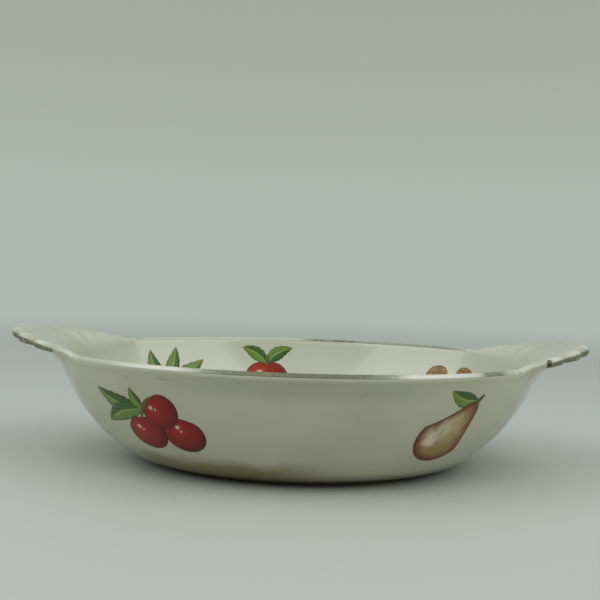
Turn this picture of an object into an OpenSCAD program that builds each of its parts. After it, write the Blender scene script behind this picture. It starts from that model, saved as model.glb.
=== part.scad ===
// Oval au gratin dish with two shell handles, printed transfers and a gilded rim.
// The table is z = 0, the handles lie along X and the front wall faces -Y.
// All sizes are in millimetres and all turns in degrees.

/* [Rim and wall] */
// Length of the oval rim, measured without the handles
rim_length = 240; // [200:1:290]
// Width of the oval rim
rim_width = 180; // [150:1:220]
// Height of the rim above the table
rim_height = 54; // [45:1:66]
// How far the wall leans out between heel and rim at the ends of the oval
wall_flare = 34; // [24:1:42]
// How far the curved wall bows out from a straight line
wall_bow = 5; // [3:0.5:7]
// Thickness of the fired wall
wall_thickness = 4.2; // [3.5:0.1:6]
// How far the rounded lip stands out from the wall below it
lip_bead = 0.3; // [0.2:0.1:1]

/* [Base] */
// Height of the foot ring
foot_height = 2.5; // [1.5:0.1:4]
// Width of the foot ring where it joins the bowl
foot_width = 6; // [4:0.1:9]
// How far the foot ring is set in from the edge of the flat base
foot_inset = 2.5; // [1:0.1:6]
// Height of the rounded heel above the flat base
heel_rise = 3; // [2:0.1:4.5]
// Thickness of the floor
floor_thickness = 5; // [4:0.1:8]
// Radius between the floor and the inside of the wall
floor_radius = 14; // [8:1:20]

/* [Handles] */
// How far a handle reaches past the end of the rim
handle_reach = 25; // [18:1:32]
// How far the outer edge of a handle rises above the rim
handle_rise = 10; // [5:0.5:14]
// Width of a handle along the rim
handle_width = 100; // [80:1:110]
// Thickness of the handle at its outer edge
handle_thickness = 5.4; // [4:0.1:6.5]
// Radius of the fillet between the handle and the wall under it
handle_fillet = 7; // [4:0.5:9]
// Number of shell lobes on a handle
handle_lobes = 7; // [5:2:9]
// Depth of the notches between the lobes
notch_depth = 3; // [1:0.1:3.5]
// Depth of the grooves on top of the handle
groove_depth = 1.8; // [0.5:0.1:2]

/* [Decoration] */
// Thickness of a transfer and of the gilding
film_thickness = 0.15; // [0.1:0.05:0.3]
// Height of the middle of the transfers on the outside
outside_print_height = 28; // [26:1:30]
// Height of the middle of the transfers on the inside
inside_print_height = 34; // [32:1:36]
// Turn of the cherries on the front
front_cherry_turn = 235; // [230:1:245]
// Turn of the pear on the front
front_pear_turn = 309; // [300:1:316]
// Turn of the sprig on the inside of the back wall
back_sprig_turn = 131; // [125:1:138]
// Turn of the apple on the inside of the back wall
back_apple_turn = 101; // [90:1:108]
// Turn of the acorns on the inside of the back wall
back_acorn_turn = 38; // [32:1:60]

/* [Hidden] */
$fn = 120;
// Clearance that keeps a seated piece from cutting into its neighbour
seat_gap = 0.03;

// Steps along one handle and along the five stretches of its section
handle_steps = 56;
crest_steps = 2;
seat_steps = 13;
under_steps = 10;
nose_steps = 6;
top_steps = 11;
// Steps along the arcs of the bowl's section
wall_steps = 20;
round_steps = 8;
lip_steps = 14;

// The section of the bowl is drawn at the end of the oval, as reach and height
rim_ratio = rim_width / rim_length;
lip_radius = (wall_thickness + lip_bead) / 2;
lip_centre = [rim_length / 2 - lip_radius, rim_height - lip_radius];
wall_low = [rim_length / 2 - lip_bead - wall_flare, foot_height + heel_rise];
wall_high = [rim_length / 2 - lip_bead, lip_centre[1]];
wall_chord = wall_high - wall_low;
wall_radius = pow(norm(wall_chord), 2) / (8 * wall_bow) + wall_bow / 2;
wall_normal = [wall_chord[1], -wall_chord[0]] / norm(wall_chord);
wall_centre = (wall_low + wall_high) / 2 - (wall_radius - wall_bow) * wall_normal;
low_angle = atan2(wall_low[1] - wall_centre[1], wall_low[0] - wall_centre[0]);
heel_radius = heel_rise / (1 + sin(low_angle));
heel_centre = wall_low + heel_radius * (wall_centre - wall_low) / wall_radius;

// The wall and the round of the lip cross in the neck under the lip
centre_gap = norm(lip_centre - wall_centre);
centre_line = (lip_centre - wall_centre) / centre_gap;
neck_along = (pow(centre_gap, 2) + pow(wall_radius, 2) - pow(lip_radius, 2)) / (2 * centre_gap);
neck_across = sqrt(pow(wall_radius, 2) - pow(neck_along, 2));
neck = wall_centre + neck_along * centre_line + neck_across * [centre_line[1], -centre_line[0]];
neck_wall_angle = atan2(neck[1] - wall_centre[1], neck[0] - wall_centre[0]);
neck_lip_angle = atan2(neck[1] - lip_centre[1], neck[0] - lip_centre[0]);

// The inside of the wall shares the centre of the outside
inner_radius = wall_radius - wall_thickness;
inner_top_angle = asin((lip_centre[1] - wall_centre[1]) / inner_radius);
inner_top = wall_centre + inner_radius * [cos(inner_top_angle), sin(inner_top_angle)];
inner_ratio = (rim_width / 2 - rim_length / 2 + inner_top[0]) / inner_top[0];
floor_height = foot_height + floor_thickness;
floor_rise = floor_height + floor_radius - wall_centre[1];
floor_reach = sqrt(pow(inner_radius - floor_radius, 2) - pow(floor_rise, 2));
floor_centre = wall_centre + [floor_reach, floor_rise];
floor_angle = atan2(floor_rise, floor_reach);

// The foot ring keeps one width all round the oval
foot_half_length = heel_centre[0] - foot_inset;
foot_half_width = heel_centre[0] * rim_ratio - foot_inset;
foot_taper = 0.8;

// A handle spreads over this much of the rim to each side of the end of the oval
handle_angle = asin(handle_width / rim_width);
// Powers that shape how the reach, rise and relief of a handle fade towards its ends
reach_power = 1.3;
rise_power = 0.95;
fade_power = 0.7;
// What is left at the ends of a handle: its reach and rise, and shares of its thickness and fillet
end_reach = 1.5;
end_rise = 0.5;
end_thickness = 0.35;
end_fillet = 0.1;
// Powers that shape the lobes and the grooves, and that crowd the points of the underside to the wall
lobe_power = 0.8;
groove_power = 1.5;
under_power = 1.8;
// Spacing of the lobes in the middle of a handle, and how much they crowd towards its ends
lobe_pace = 1.07;
lobe_crowding = 0.225;
// The gilded film on a handle runs round its edge from one angle to the other
film_low = -20;
film_high = 90;
// Slope of the top of a handle at its edge, as a share of its slope at the lip
edge_slope = 0.25;

// Points of an arc, with the first left out where the stretch before it ends there
function arc(centre, radius, from, to, steps, first = 0) = [
    for (i = [first : steps])
        let (a = from + (to - from) * i / steps)
        centre + radius * [cos(a), sin(a)]
];

// Reach of the outside of the bowl at a height between heel and crest
function wall_reach(z) = wall_centre[0] + sqrt(pow(wall_radius, 2) - pow(z - wall_centre[1], 2));
function lip_reach(z) = lip_centre[0] + sqrt(max(0, pow(lip_radius, 2) - pow(z - lip_centre[1], 2)));
function outer_reach(z) = z > neck[1] ? lip_reach(z) : wall_reach(z);

// A point of the oval that has this reach at its end, at a turn
function oval_point(reach, turn, z) = [reach * cos(turn), reach * rim_ratio * sin(turn), z];

// Shape of a handle, with w running from -1 to 1 along the rim
function swell(w) = 1 - w * w;
function fade(w) = pow(swell(w), fade_power);
function lobes_passed(w) = handle_lobes / 2 * (lobe_pace * abs(w) + lobe_crowding * w * w);
function lobe(w) = lobes_passed(w) < handle_lobes / 2 ? pow(abs(cos(180 * lobes_passed(w))), lobe_power) : 0;
function edge_thickness(w) = handle_thickness * (end_thickness + (1 - end_thickness) * fade(w));
function edge_fillet(w) = handle_fillet * (end_fillet + (1 - end_fillet) * fade(w));
function edge_groove(w) = groove_depth * (1 - lobe(w)) * fade(w);
function edge_rise(w) = end_rise + (handle_rise - end_rise) * pow(swell(w), rise_power);
function full_reach(w) = end_reach + (handle_reach - end_reach) * pow(swell(w), reach_power);
function edge_reach(w) = full_reach(w) - notch_depth * (1 - lobe(w)) * fade(w);
function edge_span(w) = edge_reach(w) - edge_thickness(w) / 2;
function handle_turn(w) = handle_angle * w;
function lean(w) = atan2(rim_ratio * sin(handle_turn(w)), cos(handle_turn(w)));
function outward(w) = [cos(lean(w)), sin(lean(w)), 0];
function edge_point(w) = oval_point(rim_length / 2, handle_turn(w), 0) + edge_span(w) * outward(w);

// The top of a handle leaves the lip on a slope and flattens towards the edge
function top_slope(w) = 2 * edge_rise(w) / ((1 + edge_slope) * (edge_span(w) + lip_radius));
function top_lean(w) = atan(top_slope(w));
function top_start(w) = lip_centre + lip_radius * [-sin(top_lean(w)), cos(top_lean(w))];
function top_run(w) = rim_length / 2 + edge_span(w) - top_start(w)[0];

// Level of the top at a distance out from the rim, before the grooves
function top_level(w, out) =
    let (t = (rim_length / 2 + out - top_start(w)[0]) / top_run(w))
    let (climb = top_slope(w) * top_run(w))
    top_start(w)[1] + climb * t - (climb + top_start(w)[1] - rim_height - edge_rise(w)) * t * t;
function fillet_drop(d, r) = d < r ? r - sqrt(r * r - pow(r - d, 2)) : 0;

// The seat of a handle begins inside the crest of the lip
function crest_points(w) = [
    for (i = [0 : crest_steps])
        let (a = 90 + top_lean(w) * (1 - i / crest_steps))
        let (p = lip_centre + (lip_radius + seat_gap) * [cos(a), sin(a)])
        oval_point(p[0], handle_turn(w), p[1])
];

// From the crest the seat follows the lip and the wall under it
function seat_points(w) = [
    for (i = [1 : seat_steps])
        let (depth = rim_height - top_level(w, 0) + edge_thickness(w) + edge_fillet(w))
        let (z = rim_height - depth * (1 - cos(90 * i / seat_steps)))
        oval_point(outer_reach(z), handle_turn(w), z) + seat_gap * outward(w)
];

// The underside leaves the wall in a fillet and runs out to the edge
function under_points(w) = [
    for (i = [1 : under_steps])
        let (t = pow(i / under_steps, under_power))
        let (out = t * edge_span(w))
        let (z = top_level(w, out) - edge_thickness(w) - fillet_drop(out, edge_fillet(w)))
        oval_point(outer_reach(min(z, lip_centre[1])), handle_turn(w), z) + (seat_gap + out) * outward(w)
];

// The edge is a half round between underside and top
function nose_radius(w) = (edge_thickness(w) - edge_groove(w)) / 2;
function nose_level(w) = top_level(w, edge_span(w)) - edge_thickness(w) + nose_radius(w);
function nose_centre(w) = edge_point(w) + [0, 0, nose_level(w)];
function nose_point(w, a, r) = nose_centre(w) + r * (cos(a) * outward(w) + [0, 0, sin(a)]);
function nose_points(w) = [
    for (i = [1 : nose_steps])
        nose_point(w, -90 + 180 * i / (nose_steps + 1), nose_radius(w))
];

// The top runs back from the edge to where it leaves the lip, with its grooves
function top_points(w) = [
    for (i = [0 : top_steps - 1])
        let (t = 1 - i / top_steps)
        let (start = oval_point(top_start(w)[0], handle_turn(w), 0))
        let (z = top_level(w, edge_span(w) - (1 - t) * top_run(w)) - edge_groove(w) * pow(t, groove_power))
        start + t * (edge_point(w) - start) + [0, 0, z + seat_gap]
];
function handle_section(w) =
    concat(crest_points(w), seat_points(w), under_points(w), nose_points(w), top_points(w));

// The gilded film on the upper side of the edge
function film_arc(w, r) = [
    for (i = [0 : nose_steps])
        nose_point(w, film_low + (film_high - film_low) * i / nose_steps, r)
];
function film_section(w) =
    let (inside = film_arc(w, nose_radius(w) + seat_gap))
    concat(film_arc(w, nose_radius(w) + film_thickness), [for (i = [nose_steps : -1 : 0]) inside[i]]);

// A closed skin over rows of sections, with a flat cap at each end
module loft(rows) {
    count = len(rows[0]);
    last = len(rows) - 1;
    sides = [
        for (i = [0 : last - 1]) for (j = [0 : count - 1]) for (half = [0 : 1])
            let (a = i * count + j)
            let (b = i * count + (j + 1) % count)
            half == 0 ? [a, b + count, a + count] : [a, b, b + count]
    ];
    caps = [[for (j = [count - 1 : -1 : 0]) j], [for (j = [0 : count - 1]) last * count + j]];
    polyhedron(points = [for (row = rows) for (p = row) p], faces = concat(caps, sides));
}

// Turned shapes are drawn round and then narrowed to the oval
module oval(ratio) {
    scale([1, ratio, 1]) children();
}

// A turned oval, made as a front half and a back half
module turned(ratio) {
    for (turn = [0, 180]) oval(ratio) rotate([0, 0, turn]) rotate_extrude(angle = 180) children();
}

module outer_form() {
    turned(rim_ratio) polygon(concat(
        [[0, foot_height]],
        arc(heel_centre, heel_radius, -90, low_angle, round_steps),
        arc(wall_centre, wall_radius, low_angle, neck_wall_angle, wall_steps, 1),
        arc(lip_centre, lip_radius, neck_lip_angle, 90, lip_steps, 1),
        [[0, rim_height]]
    ));
}

// The hollow leaves the lip at a shallow angle, so that it crosses the crest cleanly
module cavity_form() {
    exit_angle = 12;
    exit_length = 1.5 * lip_radius;
    brow = inner_top + [lip_radius, 0];
    brow_end = brow + lip_radius * [-sin(exit_angle), cos(exit_angle)];
    outlet = brow_end + exit_length * [cos(exit_angle), sin(exit_angle)];
    turned(inner_ratio) polygon(concat(
        [[0, floor_height]],
        arc(floor_centre, floor_radius, -90, floor_angle, round_steps),
        arc(wall_centre, inner_radius, floor_angle, inner_top_angle, wall_steps, 1),
        arc(brow, lip_radius, 180, 90 + exit_angle, round_steps, 1),
        [outlet, [0, outlet[1]]]
    ));
}

module bowl() {
    color([0.91, 0.88, 0.78]) difference() {
        outer_form();
        cavity_form();
    }
}

module foot_ring() {
    hole_half_length = foot_half_length - foot_width;
    color([0.83, 0.78, 0.68]) difference() {
        turned(foot_half_width / foot_half_length) polygon([
            [0, -foot_height],
            [foot_half_length - 2 * foot_taper, -foot_height],
            [foot_half_length, foot_height],
            [0, foot_height]
        ]);
        turned((foot_half_width - foot_width) / hole_half_length) polygon([
            [0, -2 * foot_height],
            [hole_half_length + 3 * foot_taper, -2 * foot_height],
            [hole_half_length - foot_taper, 2 * foot_height],
            [0, 2 * foot_height]
        ]);
        translate([-rim_length / 2, -rim_width / 2, -2 * foot_height])
            cube([rim_length, rim_width, 2 * foot_height]);
    }
}

module handle() {
    loft([for (i = [0 : handle_steps]) handle_section(-1 + 2 * i / handle_steps)]);
}

module left_handle() {
    color([0.91, 0.88, 0.78]) mirror([1, 0, 0]) handle();
}

module right_handle() {
    color([0.91, 0.88, 0.78]) handle();
}

// A film over the crest and outer side of the lip, left out where the handles sit
module rim_gilding(middle) {
    spare = 2;
    crest_end = 88;
    span = 180 - 2 * (handle_angle + spare);
    oval(rim_ratio) rotate([0, 0, middle - span / 2]) rotate_extrude(angle = span) polygon(concat(
        arc(lip_centre, lip_radius + seat_gap / 2, 0, crest_end, lip_steps),
        arc(lip_centre, lip_radius + film_thickness, crest_end, 0, lip_steps)
    ));
}

module front_rim_gilding() {
    color([0.55, 0.47, 0.22]) rim_gilding(270);
}

module back_rim_gilding() {
    color([0.55, 0.47, 0.22]) rim_gilding(90);
}

module handle_gilding() {
    spare_steps = 2;
    loft([for (i = [spare_steps : handle_steps - spare_steps]) film_section(-1 + 2 * i / handle_steps)]);
}

module left_handle_gilding() {
    color([0.55, 0.47, 0.22]) mirror([1, 0, 0]) handle_gilding();
}

module right_handle_gilding() {
    color([0.55, 0.47, 0.22]) handle_gilding();
}

// A drawing laid on a wall, with its x level and its y up the wall
// The skin of the wall is cut by a block of the drawing that stands square on the wall
module laid_on_wall(radius, height, turn, facing) {
    block_depth = 40;
    tilt = asin((wall_centre[1] - height) / radius);
    rotate([0, 0, turn]) translate([wall_centre[0] + radius * cos(tilt), 0, height])
        rotate([0, tilt, 0]) rotate([90, 0, facing])
            linear_extrude(height = block_depth, center = true) children();
}

module outside_transfer(turn) {
    oval(rim_ratio) intersection() {
        rotate_extrude() polygon(concat(
            arc(wall_centre, wall_radius, low_angle, neck_wall_angle, wall_steps),
            arc(wall_centre, wall_radius + film_thickness, neck_wall_angle, low_angle, wall_steps)
        ));
        laid_on_wall(wall_radius, outside_print_height, turn, 90) children();
    }
}

module inside_transfer(turn) {
    oval(inner_ratio) intersection() {
        rotate_extrude() polygon(concat(
            arc(wall_centre, inner_radius - film_thickness, floor_angle, inner_top_angle, wall_steps),
            arc(wall_centre, inner_radius, inner_top_angle, floor_angle, wall_steps)
        ));
        laid_on_wall(inner_radius, inside_print_height, turn, -90) children();
    }
}

// A pointed leaf between two arcs, from its foot at a point
module leaf(foot, turn, length, width) {
    radius = (length * length + width * width) / (4 * width);
    translate(foot) rotate(turn) intersection() {
        translate([length / 2, radius - width / 2]) circle(r = radius);
        translate([length / 2, width / 2 - radius]) circle(r = radius);
    }
}

// Two rounds joined into one smooth body
module body_between(low, low_size, high, high_size) {
    hull() {
        translate(low) circle(d = low_size);
        translate(high) circle(d = high_size);
    }
}

// Three cherries with their leaves
module cherries() {
    translate([-2, -6.5]) circle(d = 20);
    translate([17.5, -6]) circle(d = 20);
    translate([8.5, 6.5]) circle(d = 18);
    leaf([0, 7], 165, 28, 11);
    leaf([0, 7], 205, 28, 10);
    leaf([0, 7], 118, 12, 6);
}

// A leaning pear with a stalk and one leaf
module pear() {
    rotate(-34) {
        body_between([0, -6.5], 27, [0, 10], 13);
        translate([-0.9, 14.5]) square([1.8, 6]);
        leaf([0, 17], 195, 17, 8);
    }
}

// A sprig of leaves over a long red plum
module plum_sprig() {
    body_between([-8, -8], 12, [10, -12], 8);
    leaf([-12, -5], 62, 24, 10);
    leaf([-10, -4], 22, 30, 10);
    leaf([-12, -5], 112, 21, 10);
    leaf([-12, -6], 160, 18, 9);
}

// A round red apple with two leaves
module apple() {
    translate([0, -5]) circle(d = 25);
    leaf([0, 6], 32, 19, 9);
    leaf([0, 6], 146, 18, 9);
}

// Two acorns side by side
module acorn_pair() {
    translate([-10, 2]) rotate(14) body_between([0, -9], 10, [0, 0], 17);
    translate([10, 3]) rotate(-20) body_between([0, -9], 9, [0, 0], 16);
}

module front_left_transfer() {
    color([0.62, 0.14, 0.1]) outside_transfer(front_cherry_turn) cherries();
}

module front_right_transfer() {
    color([0.75, 0.55, 0.28]) outside_transfer(front_pear_turn) pear();
}

// The prints on the back and on the inside of the front are half a turn from their fellows
module back_right_transfer() {
    color([0.62, 0.14, 0.1]) outside_transfer(front_cherry_turn - 180) cherries();
}

module back_left_transfer() {
    color([0.75, 0.55, 0.28]) outside_transfer(front_pear_turn - 180) pear();
}

module inside_back_left_transfer() {
    color([0.3, 0.4, 0.17]) inside_transfer(back_sprig_turn) plum_sprig();
}

module inside_back_middle_transfer() {
    color([0.7, 0.2, 0.12]) inside_transfer(back_apple_turn) apple();
}

module inside_back_right_transfer() {
    color([0.55, 0.38, 0.2]) inside_transfer(back_acorn_turn) acorn_pair();
}

module inside_front_left_transfer() {
    color([0.55, 0.38, 0.2]) inside_transfer(back_acorn_turn + 180) acorn_pair();
}

module inside_front_right_transfer() {
    color([0.3, 0.4, 0.17]) inside_transfer(back_sprig_turn + 180) plum_sprig();
}

bowl();
foot_ring();
left_handle();
right_handle();
front_rim_gilding();
back_rim_gilding();
left_handle_gilding();
right_handle_gilding();
front_left_transfer();
front_right_transfer();
back_left_transfer();
back_right_transfer();
inside_back_left_transfer();
inside_back_middle_transfer();
inside_back_right_transfer();
inside_front_left_transfer();
inside_front_right_transfer();
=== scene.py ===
# %% [markdown]
# # An oval au gratin dish with shell handles
#
# A potter makes this dish in steps. The oval bowl is pressed on a mould, a foot ring and two shell
# handles are stuck to it, the whole is dipped in cream glaze, and prints and a gold line are fired
# on last. The lesson keeps that order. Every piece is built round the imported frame, in metres, so
# a finished piece lies where the frame says, with its place in its mesh.

# %% Load the frame
import math

import bmesh
import bpy
from mathutils import Matrix, Vector
from mathutils.bvhtree import BVHTree


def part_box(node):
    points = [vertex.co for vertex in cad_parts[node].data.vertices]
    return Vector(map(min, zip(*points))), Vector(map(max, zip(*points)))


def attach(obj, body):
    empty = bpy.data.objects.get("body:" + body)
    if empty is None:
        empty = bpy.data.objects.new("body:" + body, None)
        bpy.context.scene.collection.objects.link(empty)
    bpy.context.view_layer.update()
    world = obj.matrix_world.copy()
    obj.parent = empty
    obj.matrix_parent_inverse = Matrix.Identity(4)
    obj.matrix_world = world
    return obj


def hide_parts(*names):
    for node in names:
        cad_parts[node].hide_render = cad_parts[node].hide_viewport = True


MM = 0.001
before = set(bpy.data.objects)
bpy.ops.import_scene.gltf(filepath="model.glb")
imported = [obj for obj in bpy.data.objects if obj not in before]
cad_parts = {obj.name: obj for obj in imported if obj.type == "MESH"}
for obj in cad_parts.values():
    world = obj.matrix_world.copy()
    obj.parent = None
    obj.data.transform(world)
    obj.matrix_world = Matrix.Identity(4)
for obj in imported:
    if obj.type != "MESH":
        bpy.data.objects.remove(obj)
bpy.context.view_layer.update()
print("nodes in the frame:", len(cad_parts))

# %% [markdown]
# ## Helpers for node trees
#
# Shapes and finishes are both written as node trees here. One helper adds a node and fills its
# inputs with values or links, and the others do arithmetic, so a tree reads almost like a formula.

# %% Add nodes
def fill(tree, node, inputs):
    """Give inputs of a node their values or links."""
    for key, value in inputs.items():
        if isinstance(value, bpy.types.NodeSocket):
            tree.links.new(value, node.inputs[key])
        else:
            node.inputs[key].default_value = value


def add_node(tree, kind, inputs=None, **options):
    """Add a node, set its options and fill its inputs."""
    made = tree.nodes.new(kind)
    for name, value in options.items():
        setattr(made, name, value)
    fill(tree, made, inputs or {})
    return made


def calc(tree, operation, *values):
    """One step of arithmetic on numbers or sockets."""
    return add_node(tree, "ShaderNodeMath", dict(enumerate(values)), operation=operation).outputs[0]


def product(tree, first, *others):
    """Numbers or sockets multiplied together."""
    for value in others:
        first = calc(tree, "MULTIPLY", first, value)
    return first


def vector_calc(tree, operation, *values):
    """One step of arithmetic on vectors. A distance or length comes back as a number."""
    made = add_node(tree, "ShaderNodeVectorMath", dict(enumerate(values)), operation=operation)
    return made.outputs["Value" if operation in ("LENGTH", "DISTANCE") else "Vector"]


# %% Start, end and run a shape tree
def start_tree(name, inputs):
    """Start a shape tree with named inputs, each a name and a kind of socket."""
    tree = bpy.data.node_groups.new(name, "GeometryNodeTree")
    for label, kind in inputs:
        tree.interface.new_socket(name=label, in_out="INPUT", socket_type="NodeSocket" + kind)
    tree.interface.new_socket(name="Geometry", in_out="OUTPUT", socket_type="NodeSocketGeometry")
    return tree, add_node(tree, "NodeGroupInput").outputs


def end_tree(tree, shape, material):
    """Close a shape tree: faces are shaded smooth, made real and given their material."""
    smooth = add_node(tree, "GeometryNodeSetShadeSmooth", {"Geometry": shape}).outputs[0]
    real = add_node(tree, "GeometryNodeRealizeInstances", {0: smooth}).outputs[0]
    done = add_node(tree, "GeometryNodeSetMaterial", {"Geometry": real, "Material": material}).outputs[0]
    add_node(tree, "NodeGroupOutput", {0: done})


def plain_mesh(piece):
    """Replace a piece's mesh by what its modifiers make of it, and drop the modifiers."""
    depsgraph = bpy.context.evaluated_depsgraph_get()
    finished = bpy.data.meshes.new_from_object(piece.evaluated_get(depsgraph))
    piece.modifiers.clear()
    piece.data = finished
    finished.name = piece.name
    return piece


def new_piece(name, mesh):
    """A new object at the origin, for a mesh, a curve, a lamp or a camera."""
    piece = bpy.data.objects.new(name, mesh)
    bpy.context.scene.collection.objects.link(piece)
    return piece


def grow(name, tree, values, mesh=None):
    """Run a shape tree with these inputs and keep the result as a plain mesh."""
    piece = new_piece(name, mesh or bpy.data.meshes.new(name))
    modifier = piece.modifiers.new("shape", "NODES")
    modifier.node_group = tree
    for item in tree.interface.items_tree:
        if item.in_out == "INPUT" and item.name in values:
            modifier[item.identifier] = values[item.name]
    return plain_mesh(piece)


# %% [markdown]
# ## Finishes
#
# A finish is a material whose colour, roughness and relief come from its nodes. Noise is read in
# Object coordinates, so a mark keeps its place on the dish from every side. Colours are written as
# screen values from 0 to 255 and turned into the light values that Blender wants.

# %% Colour and pattern helpers
def ink(red, green, blue):
    """A colour in screen values, as linear light."""
    shares = [value / 255 for value in (red, green, blue)]
    return (*[s / 12.92 if s <= 0.04045 else ((s + 0.055) / 1.055) ** 2.4 for s in shares], 1.0)


def mix(tree, factor, first, second):
    """Blend two colours."""
    inputs = {"Factor": factor, 6: first, 7: second}
    return add_node(tree, "ShaderNodeMix", inputs, data_type="RGBA").outputs[2]


def ramp(tree, value, start, end, first=0.0, last=1.0):
    """A soft step from first to last as a value goes from start to end."""
    inputs = {0: value, 1: start, 2: end, 3: first, 4: last}
    return add_node(tree, "ShaderNodeMapRange", inputs, interpolation_type="SMOOTHSTEP").outputs[0]


def noise(tree, place, scale, detail=3.0, stretch=(1, 1, 1)):
    """Noise with about this many waves to the unit, drawn out along an axis by a small stretch."""
    moved = vector_calc(tree, "MULTIPLY", place, stretch)
    inputs = {"Vector": moved, "Scale": scale, "Detail": detail}
    return add_node(tree, "ShaderNodeTexNoise", inputs).outputs[0]


def window(tree, value, *steps):
    """1 where a value has passed all these soft steps, each given by its start and its end."""
    return product(tree, *[ramp(tree, value, start, end) for start, end in steps])


def layer(tree, colour, mask, strength, second):
    """Lay a second colour over the first where a mask says so."""
    return mix(tree, product(tree, mask, strength), colour, second)


def share_of(tree, name):
    """A number that the mesh keeps for each vertex."""
    return add_node(tree, "ShaderNodeAttribute", attribute_name=name).outputs["Fac"]


def object_place(tree):
    """Object coordinates, whole and as three numbers."""
    place = add_node(tree, "ShaderNodeTexCoord").outputs["Object"]
    return place, add_node(tree, "ShaderNodeSeparateXYZ", {0: place}).outputs


# %% Start a material and set its surface
def new_finish(name):
    """A new material, its tree and its shader."""
    material = bpy.data.materials.new(name)
    material.use_nodes = True
    return material, material.node_tree, material.node_tree.nodes["Principled BSDF"]


def set_gloss(tree, shader, coat=0.6):
    """The clear skin that glaze and prints share."""
    fill(tree, shader, {"IOR": 1.5, "Coat Weight": coat, "Coat Roughness": 0.1})


def relief(tree, height, depth):
    """A surface that seems raised by a depth where a height is 1."""
    inputs = {"Height": height, "Strength": 1.0, "Distance": depth}
    return add_node(tree, "ShaderNodeBump", inputs).outputs[0]


# %% [markdown]
# ## The cream glaze
#
# The glaze is glossy and cloudy, with a few fired-in specks. Use has left an olive baking stain low
# on the front of its outside, grime beside the foot, where shade is painted as well, and grey scuffs
# under the rim, with a darker band there. The front of the outside is also painted darker and yellower
# as shade, and the inside between the shells is painted lighter as light. All of it could be painted in
# one image, but masks made from height, side and noise stay sharp at any distance. Shares kept on the
# meshes help them. The share called outside keeps the dirt and the painted shade off the inside of the
# dish. On the shells, shares mark the flutes with painted shade, the crowns of the lobes with a painted
# highlight and one spot where the glaze is gone.

# %% Colours of the glaze
CREAM = ink(207, 208, 189)
CREAM_CLOUD = ink(196, 197, 174)
# Painted light: the inside between the shells is painted lighter than the glaze.
INSIDE_LIGHT = ink(222, 223, 205)
# Painted shade: the front of the outside is painted darker and yellower.
FRONT_SHADE = ink(184, 182, 146)
STAIN = ink(124, 118, 54)
# Grime and painted shade near the foot.
GRIME_AND_SHADE = ink(92, 86, 56)
SCUFF = ink(142, 140, 124)
SPECK = ink(84, 70, 52)
# Painted shade in the flutes of the shells.
HOLLOW_SHADE = ink(150, 146, 118)
# Painted highlight on the front lip and on the crowns of the lobes.
PAINTED_HIGHLIGHT = ink(228, 229, 214)
CHIPPED = ink(58, 32, 18)
COVER = {
    "inside_light": 0.45, "front_shade": 0.4, "stain": 0.85, "grime_and_shade": 0.6, "marks": 0.6, "band": 0.35, "speck": 0.8,
    "hollow": 0.75, "rubbed": 0.8,
}
WAVES = {"clouds": 24, "stain": 60, "marks": 160, "grain": 260, "chip": 900}
print("marks on the glaze and how strongly they cover it:", COVER)

# %% Dirt, painted light and painted shade on the outside
FOOT_EDGE = (0.96, 1.0)
# Where the painted light on the inside fades out towards the shells.
INSIDE_LIGHT_ENDS = (114 * MM, 94 * MM)
STAIN_DEPTH = 8 * MM
STAIN_TOP = (19 * MM, 12 * MM)
STAIN_RISE = (-88 * MM, -60 * MM)
STAIN_FALL = (34 * MM, -20 * MM)
# Height below which grime and painted shade darken the outside.
GRIME_AND_SHADE_TOP = (8.5 * MM, 4 * MM)

foot_end, foot_side, foot_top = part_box("foot_ring")[1]


def outside_mask(tree, place):
    """1 on the outside of the dish, down to the foot ring but not on the base within it."""
    reach = vector_calc(tree, "MULTIPLY", place, (1 / foot_end, 1 / foot_side, 0))
    beside_foot = ramp(tree, vector_calc(tree, "LENGTH", reach), *FOOT_EDGE)
    return product(tree, share_of(tree, "outside"), beside_foot)


def soiled_and_shaded(tree, colour, place, axes, outside, front):
    """Painted light on the inside, painted shade on the front, and outside an olive stain and grime
    with painted shade. The stain's mask comes back too.
    """
    inside = calc(tree, "SUBTRACT", 1.0, outside)
    # Painted light: the inside between the shells is painted lighter.
    between_shells = ramp(tree, calc(tree, "ABSOLUTE", axes["X"]), *INSIDE_LIGHT_ENDS)
    colour = layer(tree, colour, product(tree, inside, between_shells), COVER["inside_light"], INSIDE_LIGHT)
    # Painted shade: the front of the outside is painted darker and yellower.
    colour = layer(tree, colour, front, COVER["front_shade"], FRONT_SHADE)
    waves = product(tree, noise(tree, place, WAVES["stain"]), STAIN_DEPTH)
    low = ramp(tree, calc(tree, "ADD", axes["Z"], waves), *STAIN_TOP)
    stain = product(tree, low, window(tree, axes["X"], STAIN_RISE, STAIN_FALL), front)
    colour = layer(tree, colour, stain, COVER["stain"], STAIN)
    # Grime and painted shade: the lowest part of the outside is darkened.
    grime_and_shade = product(tree, ramp(tree, axes["Z"], *GRIME_AND_SHADE_TOP), outside)
    return layer(tree, colour, grime_and_shade, COVER["grime_and_shade"], GRIME_AND_SHADE), stain


print("foot ring reaches in mm:", round(foot_end / MM, 1), "and", round(foot_side / MM, 1))

# %% Wear
SCUFF_RISE = (40 * MM, 47 * MM)
SCUFF_FALL = (52 * MM, 50 * MM)
BAND_RISE = (-60 * MM, -30 * MM)
BAND_FALL = (70 * MM, 40 * MM)
MARK_STRETCH = (0.35, 1, 1.6)
SPECK_CELLS = 60.0
SPECK_SIZE = (0.028, 0.016)
SPECK_PICK = (0.9, 0.91)


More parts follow.
